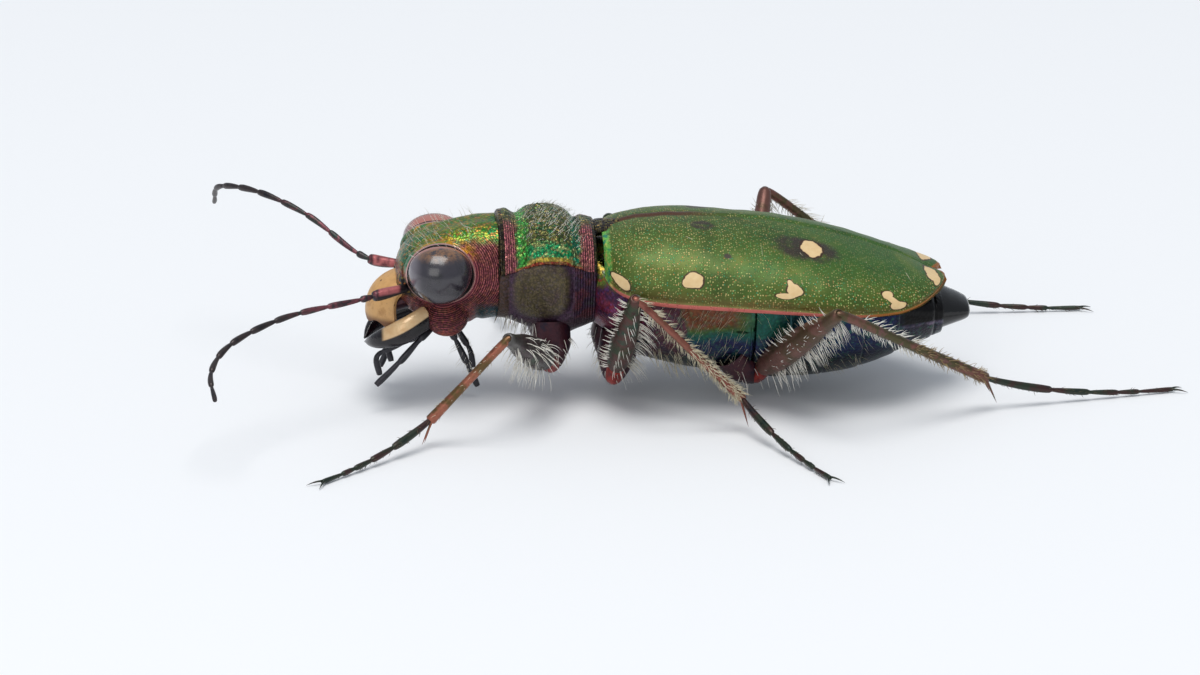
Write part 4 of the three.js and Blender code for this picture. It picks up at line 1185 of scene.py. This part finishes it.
# %% Breast plates
def breast_material():
    material, tree, shader, vector, base, humps = armour(
        "breast plate", [(76, 60, 56), (92, 82, 56), (72, 56, 54)], 0.36, 0.5, 1.5, 18.0)
    xyz = axes(tree, vector)
    dx = maths(tree, "DIVIDE", maths(tree, "SUBTRACT", xyz["X"], PLATE_MIDDLE[0]), PLATE_HALF[0])
    dz = maths(tree, "DIVIDE", maths(tree, "SUBTRACT", xyz["Z"], PLATE_MIDDLE[1]), PLATE_HALF[1])
    cube = maths(tree, "ADD", maths(tree, "POWER", maths(tree, "ABSOLUTE", dx), 3.0),
                 maths(tree, "POWER", maths(tree, "ABSOLUTE", dz), 3.0))
    edge = maths(tree, "POWER", cube, 1 / 3)
    wob = maths(tree, "MULTIPLY_ADD", noise(tree, vector, 3.5, 3).outputs["Fac"], 0.3, -0.15)
    violet = between(tree, maths(tree, "ADD", edge, wob), 0.8, 1.04)
    base = blend(tree, times(tree, violet, 0.85), base, colour(66, 36, 70))
    ribs = add(tree, "ShaderNodeTexWave", {"Vector": vector, "Scale": 5.0, "Distortion": 1.5, "Detail": 2.0},
               bands_direction="X").outputs["Fac"]
    rear = between(tree, maths(tree, "MULTIPLY_ADD", wob, 0.6, xyz["X"]), -0.78, -0.66)
    tones = palette(tree, noise(tree, vector, 2.5, 3).outputs["Fac"],
                    [(84, 36, 62), (104, 52, 60), (62, 38, 70), (62, 74, 52)])
    base = blend(tree, rear, base, blend(tree, times(tree, ribs, 0.5), tones, colour(44, 20, 36)))
    low = between(tree, maths(tree, "ADD", xyz["Z"], wob), 2.3, 2.1)
    base = blend(tree, low, base, colour(60, 32, 46))
    base = blend(tree, between(tree, xyz["X"], -2.24, -2.32), base, colour(70, 50, 38))
    add_painted_glints_shade_and_bumps(tree, shader, base, humps, [(110, 96, 60), (124, 90, 80), (92, 82, 104)], 0.22,
                  times(tree, ribs, rear, 1.5), 0.012, 0.45)
    return material


# %% Middle thorax
def thorax_material():
    material, tree, shader, vector, base, humps = armour(
        "thorax side", [(84, 32, 58), (124, 40, 62), (66, 34, 66), (104, 46, 50)], 0.32, 0.6, 1.4, 16.0)
    xyz = axes(tree, vector)
    wob = maths(tree, "MULTIPLY_ADD", noise(tree, vector, 3, 3).outputs["Fac"], 0.4, -0.2)
    high = between(tree, maths(tree, "MULTIPLY_ADD", wob, 0.8, xyz["Z"]), 3.0, 3.2)
    streak = palette(tree, noise(tree, vector, 5, 2).outputs["Fac"],
                     [(170, 84, 44), (86, 120, 44), (200, 160, 60)])
    base = blend(tree, high, base, streak)
    base = blend(tree, between(tree, maths(tree, "ADD", xyz["Z"], wob), 2.0, 1.7), base, colour(24, 50, 44))
    add_painted_glints_shade_and_bumps(tree, shader, base, humps, [(150, 60, 84), (180, 90, 70), (90, 70, 140)],
                  0.3, None, 0.008, 0.3)
    return material


# %% Belly
def belly_material():
    material, tree, shader, vector, base, humps = armour(
        "belly rings", [(8, 44, 66), (16, 34, 74), (26, 28, 70), (10, 62, 66)], 0.3, 0.65, 1.0, 14.0)
    xyz = axes(tree, vector)
    wob = maths(tree, "MULTIPLY_ADD", noise(tree, vector, 1.6, 3).outputs["Fac"], 0.9, -0.45)
    x = maths(tree, "ADD", xyz["X"], wob)
    z = maths(tree, "MULTIPLY_ADD", wob, 0.35, xyz["Z"])
    dark = palette(tree, noise(tree, vector, 2.5, 3).outputs["Fac"],
                   [(62, 34, 52), (88, 50, 58), (54, 40, 60)])
    base = blend(tree, between(tree, x, 2.2, 1.8), base, dark)
    wing_side = times(tree, between(tree, x, 1.8, 2.0), between(tree, x, 4.9, 4.1))
    green = times(tree, wing_side, between(tree, z, 1.75, 2.0))
    base = blend(tree, green, base, colour(26, 86, 74))
    green = times(tree, wing_side, between(tree, z, 1.95, 2.15))
    base = blend(tree, times(tree, green, between(tree, x, 3.7, 3.2)), base, colour(62, 92, 44))
    copper = times(tree, wing_side, between(tree, z, 2.08, 2.3))
    base = blend(tree, times(tree, copper, between(tree, x, 3.5, 2.8)), base, colour(112, 66, 42))
    base = blend(tree, between(tree, x, 6.8, 7.6), base, colour(34, 30, 44))
    base = blend(tree, between(tree, z, 1.5, 1.1), base, colour(12, 16, 34))
    last = times(tree, between(tree, xyz["X"], 6.9, 7.3), between(tree, xyz["Z"], 1.92, 1.98))
    base = blend(tree, last, base, colour(9, 9, 12))
    lip_line = times(tree, between(tree, xyz["X"], 6.9, 7.3), between(tree, xyz["Z"], 1.84, 1.87),
                     between(tree, xyz["Z"], 1.98, 1.90),
                     between(tree, noise(tree, vector, 3, 3).outputs["Fac"], 0.3, 0.6))
    base = blend(tree, lip_line, base, colour(104, 92, 112))
    add_painted_glints_shade_and_bumps(tree, shader, base, humps, [(40, 120, 130), (70, 70, 150), (60, 130, 90)],
                  maths(tree, "MULTIPLY_ADD", last, -0.25, 0.25), None, 0.007, 0.3)
    return material


wear(breast, breast_material())
wear(mesothorax, thorax_material())
belly_finish = belly_material()
wear(abdomen, belly_finish)
wear(metathorax, belly_finish)
print("finishes so far", len(bpy.data.materials))

# %% [markdown]
# The small parts have simpler skins: glossy black for the tail tip and the jaws, a dark grey
# lens for the eyes, tan horn for the lip, and copper, pink or dark green for legs and feelers.

# %% Plain skins
def skin(name, tones, roughness, metallic, scale=3.0, depth=0.006, detail=18.0, **plain):
    material, tree, shader = start_material(name, roughness, metallic, **plain)
    vector = millimetres(tree)
    base = palette(tree, noise(tree, vector, scale, 4, 0.6).outputs["Fac"], tones)
    tree.links.new(base, shader.inputs["Base Color"])
    bumped(tree, shader, noise(tree, vector, detail, 3).outputs["Fac"], depth)
    return material, tree, shader, vector, base


def recolour(parts, factor, tone):
    material, tree, shader, vector, base = parts
    base = blend(tree, factor, base, tone)
    tree.links.new(base, shader.inputs["Base Color"])
    return material, tree, shader, vector, base


# %% Eyes
eye_parts = skin("eye lens", [(30, 28, 33), (50, 47, 54), (36, 33, 40)], 0.24, 0.0, 1.6, 0.002, 40.0,
                 Coat_Weight=0.5, Coat_Roughness=0.12)
tree, vector = eye_parts[1], eye_parts[3]
_, near = eye_distance(tree, vector)
flecks = noise(tree, vector, 7, 4, 0.7).outputs["Fac"]
top = times(tree, between(tree, near["Z"], 0.55, 0.9), between(tree, flecks, 0.35, 0.6))
eye_parts = recolour(eye_parts, times(tree, top, 0.8), colour(134, 96, 66))
inner = times(tree, between(tree, near["Y"], 0.22, -0.06), between(tree, near["Z"], 0.2, 0.6))
eye_parts = recolour(eye_parts, inner, colour(166, 108, 98))
# Painted sheen: the front of each eye is lighter grey.
pale = times(tree, between(tree, near["X"], -0.55, -0.95), 0.6)
eye_parts = recolour(eye_parts, pale, colour(132, 126, 134))
eye_finish = eye_parts[0]
print("made", eye_finish.name)

# %% Tail, lip and jaws
black_finish = skin("black horn", [(3, 3, 5), (11, 10, 13)], 0.16, 0.0)[0]

lip_parts = skin("tan horn", [(168, 122, 70), (198, 152, 96), (180, 136, 84)], 0.42, 0.0, 2.5, 0.01, 9.0)
tree, vector = lip_parts[1], lip_parts[3]
pores = add(tree, "ShaderNodeTexVoronoi", {"Vector": vector, "Scale": 3.2,
                                           "Randomness": 1.0}).outputs["Distance"]
lip_parts = recolour(lip_parts, between(tree, pores, 0.14, 0.08), colour(84, 50, 28))
# Painted shade: the lip darkens towards its lower edge.
lip_z = axes(tree, vector)["Z"]
lip_parts = recolour(lip_parts, between(tree, lip_z, 2.3, 2.12), colour(110, 72, 40))
lip_finish = lip_parts[0]

jaw_parts = skin("jaw horn", [(14, 12, 16), (34, 28, 34)], 0.2, 0.1)
tree, vector = jaw_parts[1], jaw_parts[3]
jaw_xyz = axes(tree, vector)
strip = times(tree, between(tree, jaw_xyz["X"], -5.36, -5.26),
              between(tree, maths(tree, "MULTIPLY_ADD", jaw_xyz["X"], -0.52, jaw_xyz["Z"]), 4.52, 4.57))
strip = times(tree, strip, between(tree, maths(tree, "ABSOLUTE", jaw_xyz["Y"]), 0.3, 0.4))
jaw_parts = recolour(jaw_parts, strip, blend(tree, noise(tree, vector, 5, 3).outputs["Fac"],
                                             colour(226, 202, 160), colour(190, 140, 88)))
jaw_finish = jaw_parts[0]
print("made", black_finish.name, lip_finish.name, jaw_finish.name)

# %% Palps and legs
palp_finish = skin("palp skin", [(26, 30, 34), (48, 46, 52), (22, 26, 30)], 0.32, 0.3)[0]
red_finish = skin("red joint", [(84, 16, 18), (138, 36, 26), (96, 30, 24)], 0.3, 0.2)[0]
hip_finish = skin("hip armour", [(44, 24, 34), (66, 34, 42), (38, 30, 46)], 0.36, 0.5)[0]
THIGHS = {
    "front": [(62, 54, 50), (84, 82, 80), (70, 58, 60), (52, 66, 52)],
    "middle": [(62, 34, 36), (52, 66, 46), (84, 56, 52), (44, 74, 60)],
    "hind": [(92, 62, 56), (110, 76, 68), (82, 66, 48), (100, 64, 66)],
}
SHINS = {
    "front": [(104, 58, 44), (150, 92, 74), (92, 74, 44), (128, 76, 60)],
    "middle": [(96, 52, 46), (134, 82, 70), (86, 66, 46)],
    "hind": [(82, 66, 40), (112, 74, 66), (74, 70, 44), (116, 74, 78)],
}
leg_finish = {}
for pair in PAIRS:
    leg_finish["femur", pair] = skin(f"{pair} thigh armour", THIGHS[pair], 0.34, 0.6, 1.3)[0]
    leg_finish["tibia", pair] = skin(f"{pair} shin armour", SHINS[pair], 0.34, 0.6, 1.5)[0]
foot_finish = skin("foot armour", [(26, 42, 40), (48, 56, 46), (64, 44, 42), (24, 36, 42)], 0.36, 0.5, 1.3)[0]

# %% Feelers
feeler_parts = skin("feeler skin", [(36, 32, 36), (56, 48, 48), (30, 30, 36)], 0.36, 0.4)
tree, vector = feeler_parts[1], feeler_parts[3]
feeler_xyz = axes(tree, vector)
rosy = palette(tree, noise(tree, vector, 2.5, 3).outputs["Fac"],
               [(84, 46, 54), (46, 42, 46), (112, 62, 70), (40, 52, 48), (54, 46, 48)])
feeler_parts = recolour(feeler_parts, between(tree, feeler_xyz["X"], -8.0, -6.6), rosy)
scape_top_highlight = palette(tree, noise(tree, vector, 4, 2).outputs["Fac"],
                     [(150, 74, 80), (176, 100, 100), (90, 44, 52)])
feeler_parts = recolour(feeler_parts, between(tree, feeler_xyz["X"], -5.5, -5.42), colour(26, 22, 28))
# Painted highlight: the first joint's pink goes on its upper half only; the lower half stays dark.
scape = times(tree, between(tree, feeler_xyz["X"], -5.46, -5.38),
              between(tree, feeler_xyz["X"], -4.85, -4.95), between(tree, feeler_xyz["Z"], 2.98, 3.06))
feeler_parts = recolour(feeler_parts, scape, scape_top_highlight)
feeler_finish = feeler_parts[0]
print("made", feeler_finish.name)

# %% Who wears what
for side in ("left", "right"):
    wear(bpy.data.objects[f"eye_{side}_ball"], eye_finish)
    wear(bpy.data.objects[f"jaw_{side}"], jaw_finish)
    wear(bpy.data.objects[f"feeler_{side}"], feeler_finish)
    wear(bpy.data.objects[f"maxilla_{side}_jointed"], palp_finish)
    wear(bpy.data.objects[f"labial_palp_{side}_jointed"], palp_finish)
wear(tail_tip, black_finish)
wear(lip, lip_finish)
wear(mouth, hip_finish)
for name, pieces in leg_pieces.items():
    pair = name.split("_")[0]
    wear(pieces["coxa"], hip_finish)
    wear(pieces["trochanter"], red_finish)
    wear(pieces["femur"], leg_finish["femur", pair])
    wear(pieces["tibia"], leg_finish["tibia", pair])
    wear(pieces["tarsus"], foot_finish)
print("materials", len(bpy.data.materials))

# %% [markdown]
# Stiff white bristles stand on the thighs, shins and breast, and finer hairs lie on the
# shield and belly. Each is a thin tapered rod, bent a little, rooted on the skin that carries
# it: a place on the skin's own sheet gives the root, and the sheet's slope there gives the
# way out. Arrays make all bristles of a region at once, and those of one tone on one kind of
# part are joined. Their UV map packs each bristle into a tiny patch at its root's place, in
# the cell of the skin that carries it.

# %% Bristles
RINGS_PER_HAIR = 5
SIDES_PER_HAIR = 3
ROOT_DEEP = 0.02
LOWEST = 0.01
PATCH = 0.003
CELLS = 6
hair_counts = []
coat_cells = {}
tufts = {}


def rooted(skin_name, u, v):
    place = skins[skin_name]
    step = 1e-3
    here = place(u, v)
    over_u = place((u + step) % 1, v) - place((u - step) % 1, v)
    v_low, v_high = np.clip(v - step, 0, 1), np.clip(v + step, 0, 1)
    over_v = place(u, v_high) - place(u, v_low)
    normal = unit(np.cross(over_u, over_v))
    inner = here - UP if skin_name.startswith("wing_cover") else place((u + 0.5) % 1, v)
    outwards = np.sign(((here - inner) * normal).sum(1))
    outwards = np.where(outwards == 0, 1, outwards)
    return here, normal * outwards[:, None], unit(over_v)


# %% A region of bristles
def coat(name, skin_name, slot, count, u_range, v_range, length, lie, lean, thick, finish, bend=0.25,
         jitter=0.25, blunt=0.15):
    u = rng.uniform(*u_range, count) % 1
    v = rng.uniform(*v_range, count)
    root, normal, along = rooted(skin_name, u, v)
    lying = along * lie if np.isscalar(lie) else unit(np.array(lie, float) + 0 * root)
    way = unit(normal * (1 - lean) + lying * lean + rng.normal(0, jitter, (count, 3)))
    size = rng.uniform(*length, count)[:, None]
    curl = (lying - way) * bend
    t = np.linspace(0, 1, RINGS_PER_HAIR)
    spine = (root - way * ROOT_DEEP)[:, None, :] + (way * size)[:, None, :] * t[None, :, None]
    spine = spine + (curl * size)[:, None, :] * (t**2)[None, :, None]
    spine[:, :, 2] = np.maximum(spine[:, :, 2], LOWEST)
    side_a = unit(np.cross(way, UP + 0.01 * AHEAD))
    side_b = np.cross(way, side_a)
    turn = np.arange(SIDES_PER_HAIR) * 2 * math.pi / SIDES_PER_HAIR
    ring = (side_a[:, None, :] * np.cos(turn)[None, :, None]
            + side_b[:, None, :] * np.sin(turn)[None, :, None])
    taper = thick * (1 - (1 - blunt) * t**1.5)
    points = spine[:, :, None, :] + ring[:, None, :, :] * taper[None, :, None, None]
    per_hair = RINGS_PER_HAIR * SIDES_PER_HAIR
    ring_ids = np.arange(per_hair).reshape(RINGS_PER_HAIR, SIDES_PER_HAIR)
    beside = np.roll(ring_ids, -1, axis=1)
    quads = np.stack([ring_ids[:-1], beside[:-1], beside[1:], ring_ids[1:]], -1).reshape(-1, 4)
    faces = (quads[None] + (np.arange(count) * per_hair)[:, None, None]).reshape(-1, 4).tolist()
    first, last = ring_ids[0][::-1], ring_ids[-1]
    for i in range(count):
        faces.append((first + i * per_hair).tolist())
        faces.append((last + i * per_hair).tolist())
    mesh = bpy.data.meshes.new(name)
    mesh.from_pydata(metres(points.reshape(-1, 3)).tolist(), [], faces)
    cell = coat_cells.setdefault(skin_name, len(coat_cells))
    corner = np.array([cell % CELLS, cell // CELLS]) / CELLS
    spot = corner + np.stack([u, v], -1) * 0.96 / CELLS
    small = np.stack(np.meshgrid(np.linspace(0, PATCH, RINGS_PER_HAIR),
                                 np.linspace(0, PATCH, SIDES_PER_HAIR), indexing="ij"), -1)
    by_point = (spot[:, None, None, :] + small[None]).reshape(-1, 2)
    layer = mesh.uv_layers.new(name="OFBake")
    corner_of = np.zeros(len(mesh.loops), int)
    mesh.loops.foreach_get("vertex_index", corner_of)
    layer.data.foreach_set("uv", by_point[corner_of].ravel())
    piece = bpy.data.objects.new(name, mesh)
    bpy.context.scene.collection.objects.link(piece)
    pick(piece)
    bpy.ops.object.mode_set(mode="EDIT")
    bpy.ops.mesh.select_all(action="SELECT")
    bpy.ops.mesh.normals_make_consistent(inside=False)
    bpy.ops.object.mode_set(mode="OBJECT")
    bpy.ops.object.shade_smooth()
    wear(piece, finish)
    tufts.setdefault((slot, finish.name.split()[0]), []).append(piece)
    hair_counts.append(count)


# %% [markdown]
# The thighs carry long white bristles below and short stiff ones above, the shins combs and
# fur, the breast and hips tufts, and the shield, head and belly fine lying hairs. Each region
# is a patch of its skin: a range round the limb and a range along it, mirrored to the right.

# %% Where they grow
white_hair = skin("white bristle", [(214, 208, 194), (236, 234, 226)], 0.5, 0.0, 4.0, 0.001)[0]
pale_hair = skin("cream fur", [(176, 164, 134), (214, 206, 180)], 0.6, 0.0, 4.0, 0.001)[0]
gold_hair = skin("golden bristle", [(112, 90, 56), (168, 146, 104)], 0.5, 0.0, 4.0, 0.001)[0]
dark_hair = skin("dark bristle", [(54, 44, 34), (96, 82, 56)], 0.5, 0.0, 4.0, 0.001)[0]
ROUND = (0, 1)
for side, mirror in (("left", -1), ("right", 1)):
    def way(x, y, z):
        return (x, y * mirror, z)

    def turned(low, high):
        return (low, high) if mirror > 0 else (1 - high, 1 - low)

    thigh = "femur_{}_" + side + "_skin"
    shin = "tibia_{}_" + side + "_skin"
    foot = "tarsus_{}_" + side + "_skin"

    front, middle, hind = (thigh.format(pair) for pair in PAIRS)
    coat(f"thigh_front_fringe_{side}", front, "femur", 54, turned(0.36, 0.62), (0.05, 0.85),
         (0.36, 0.66), way(-0.2, 0.1, -1), 0.35, 0.0125, white_hair, 0.4, 0.16)
    coat(f"thigh_front_crest_{side}", front, "femur", 36, turned(0.68, 0.88), (0.02, 0.75),
         (0.3, 0.52), way(0.3, 0.1, -0.9), 0.3, 0.011, white_hair, 0.4, 0.16)
    coat(f"thigh_middle_rear_{side}", middle, "femur", 80, turned(0.68, 0.8), (0.02, 0.92),
         (0.36, 0.75), way(0.3, 0.1, -0.9), 0.35, 0.012, white_hair, 0.35, 0.14)
    coat(f"thigh_middle_front_{side}", middle, "femur", 54, turned(0.2, 0.3), (0.02, 0.92),
         (0.16, 0.32), way(-0.4, 0.2, 0.8), 0.25, 0.013, white_hair, 0.2, 0.12)
    coat(f"thigh_middle_face_{side}", middle, "femur", 26, turned(0.4, 0.52), (0.05, 0.85),
         (0.16, 0.3), way(0.3, 0.3, -0.9), 0.4, 0.011, white_hair, 0.3, 0.14)
    coat(f"thigh_hind_below_{side}", hind, "femur", 120, turned(0.5, 0.66), (0.02, 0.96),
         (0.34, 0.66), way(0.3, 0.2, -1), 0.3, 0.0115, white_hair, 0.35, 0.2)
    coat(f"thigh_hind_above_{side}", hind, "femur", 44, turned(0.08, 0.2), (0.05, 0.9),
         (0.16, 0.3), way(-0.2, 0.1, 0.8), 0.25, 0.012, white_hair, 0.25, 0.12)
    coat(f"thigh_hind_face_{side}", hind, "femur", 30, turned(0.26, 0.42), (0.05, 0.85),
         (0.14, 0.22), 1.0, 0.6, 0.011, white_hair, 0.3, 0.2)

    front, middle, hind = (shin.format(pair) for pair in PAIRS)
    for n, edge in enumerate(((-0.09, 0.09), (0.41, 0.59))):
        coat(f"shin_middle_comb_{side}_{n}", middle, "tibia", 46, edge, (0.04, 0.5),
             (0.14, 0.28), 1.0, 0.4, 0.011, pale_hair, 0.2, 0.12)
    coat(f"shin_middle_fur_{side}", middle, "tibia", 420, ROUND, (0.5, 0.97),
         (0.12, 0.28), 1.0, 0.5, 0.009, pale_hair, 0.2)
    coat(f"shin_front_bristles_{side}", front, "tibia", 60, ROUND, (0.1, 0.97),
         (0.06, 0.16), 1.0, 0.5, 0.008, pale_hair, 0.2)
    coat(f"shin_hind_white_{side}", hind, "tibia", 60, turned(0.4, 0.6), (0.06, 0.5),
         (0.18, 0.34), 1.0, 0.35, 0.012, white_hair, 0.3, 0.14)
    coat(f"shin_hind_upper_{side}", hind, "tibia", 36, (-0.1, 0.1), (0.15, 0.6),
         (0.24, 0.42), 1.0, 0.5, 0.012, white_hair, 0.2, 0.12)
    coat(f"shin_hind_gold_{side}", hind, "tibia", 210, ROUND, (0.5, 0.99),
         (0.12, 0.26), 1.0, 0.45, 0.010, gold_hair, 0.2)
    for pair in PAIRS:
        coat(f"foot_{pair}_bristles_{side}", foot.format(pair), "tarsus", 90, (0.1, 0.9),
             (0.03, 0.97), (0.06, 0.16), 1.0, 0.6, 0.008, dark_hair, 0.2)
        coat(f"hip_{pair}_bristles_{side}", f"coxa_{pair}_{side}_skin", "coxa", 40, ROUND,
             (0.3, 0.95), (0.2, 0.42), way(0.1, 0.5, -0.9), 0.5, 0.010, white_hair, 0.3)

    coat(f"breast_bristles_{side}", "prothorax_sides", "thorax_side", 70, turned(0.39, 0.47),
         (0.04, 0.7), (0.26, 0.5), way(-0.2, 0.4, -0.9), 0.45, 0.011, white_hair, 0.3)
    coat(f"chest_bristles_{side}", "metathorax_plates", "belly", 100, turned(0.36, 0.45),
         (0.05, 0.9), (0.24, 0.5), way(0.6, 0.3, -1), 0.6, 0.008, pale_hair, 0.3)
    coat(f"flank_hairs_{side}", "metathorax_plates", "belly", 110, turned(0.22, 0.36),
         (0.1, 1.0), (0.22, 0.42), way(-0.5, 0.1, -0.8), 0.82, 0.0045, pale_hair, 0.3)
    coat(f"belly_hairs_{side}", "abdomen_rings", "belly", 150, turned(0.2, 0.42),
         (0.0, 0.6), (0.18, 0.36), way(0.6, 0.1, -0.9), 0.8, 0.0045, pale_hair, 0.3)
    coat(f"shield_hairs_{side}", "pronotum_shield", "pronotum", 170, turned(0.01, 0.16),
         (0.22, 0.86), (0.16, 0.32), way(0.5, -0.8, 0.2), 0.72, 0.0042, white_hair, 0.3)
    coat(f"head_hairs_{side}", "head_capsule", "head", 46, turned(0.01, 0.16),
         (0.12, 0.75), (0.2, 0.42), way(-0.6, 0.1, 0.6), 0.5, 0.005, white_hair, 0.3)
    coat(f"palp_bristles_{side}", f"labial_palp_{side}_jointed", "palps", 34, ROUND,
         (0.1, 0.75), (0.14, 0.3), way(-0.4, 0.5, -0.6), 0.4, 0.007, white_hair, 0.3)
    coat(f"cover_hairs_{side}", f"wing_cover_{side}", "elytra", 14, (0.12, 0.8),
         (0.1, 0.85), (0.25, 0.45), 1.0, 0.97, 0.007, pale_hair, 0.1, 0.6)

# %% One mesh for each kind of part and tone
for (slot, tone), pieces in tufts.items():
    together = join(pieces, f"{tone}_bristles_{slot}")
    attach(together, "root")
print("bristles", sum(hair_counts), "in", len(tufts), "meshes")

# %% [markdown]
# The photograph was taken on white, in soft light from above. A large pale floor, a bright
# even sky and two big soft lamps give the same: gentle shadows and broad highlights.

# %% Floor and sky
FLOOR_METRES = 1.2
FLOOR_TONE = (0.86, 0.87, 0.89, 1)
SKY_TONE = (0.84, 0.91, 1.0, 1)
SKY_STRENGTH = 0.5
free_selection()
bpy.ops.mesh.primitive_plane_add(size=FLOOR_METRES, location=(0, 0, 0))
floor = bpy.context.object
floor.name = "floor"
floor_finish, _, floor_shader = start_material("pale floor", 0.6, 0.0)
floor_shader.inputs["Base Color"].default_value = FLOOR_TONE
wear(floor, floor_finish)
print("floor is", FLOOR_METRES, "m wide")

world = bpy.data.worlds.new("soft sky")
bpy.context.scene.world = world
world.use_nodes = True
world.node_tree.nodes["Background"].inputs["Color"].default_value = SKY_TONE
world.node_tree.nodes["Background"].inputs["Strength"].default_value = SKY_STRENGTH


# %% Lamps
LAMP_TONE = (1.0, 0.985, 0.955)


def lamp(name, place, size, watts):
    light = bpy.data.lights.new(name, "AREA")
    light.size = size
    light.energy = watts
    light.color = LAMP_TONE
    lamp_object = bpy.data.objects.new(name, light)
    bpy.context.scene.collection.objects.link(lamp_object)
    lamp_object.location = place
    lamp_object.rotation_mode = "QUATERNION"
    lamp_object.rotation_quaternion = (-Vector(place)).to_track_quat("-Z", "Y")


lamp("top softbox", (-0.03, -0.08, 0.38), 0.24, 1.06)
lamp("side softbox", (-0.10, -0.22, 0.12), 0.14, 0.12)
print("lamps", len(bpy.data.lights))

# %% [markdown]
# The photograph was taken from the beetle's left side, a little above it. A fit to the leg
# joints gave the camera's tilt and turn. A far camera with a long lens keeps the legs on the
# far side nearly as large as the near ones, as in the photograph.

# %% Camera
CAMERA_TILT = math.radians(17.5)
CAMERA_TURN = math.radians(-5)
CAMERA_FAR = 150  # mm
SENSOR = 36
AIM = np.array([0.0, 0.0, 1.4])
PIXELS_PER_MM = 41.3
PHOTO_WIDTH = 1200
level = math.cos(CAMERA_TILT)
back = np.array([math.sin(CAMERA_TURN) * level, -math.cos(CAMERA_TURN) * level, math.sin(CAMERA_TILT)])
camera_data = bpy.data.cameras.new("camera")
camera = bpy.data.objects.new("camera", camera_data)
bpy.context.scene.collection.objects.link(camera)
camera_data.sensor_width = SENSOR
camera_data.lens = SENSOR * PIXELS_PER_MM * CAMERA_FAR / PHOTO_WIDTH
camera_data.clip_start = 0.005
camera_data.clip_end = 10
camera.location = metres(AIM + back * CAMERA_FAR)
camera.rotation_mode = "QUATERNION"
camera.rotation_quaternion = Vector(-back).to_track_quat("-Z", "Y")
bpy.context.scene.camera = camera
bpy.context.scene.view_settings.view_transform = "Standard"
print("lens", round(camera_data.lens), "mm")
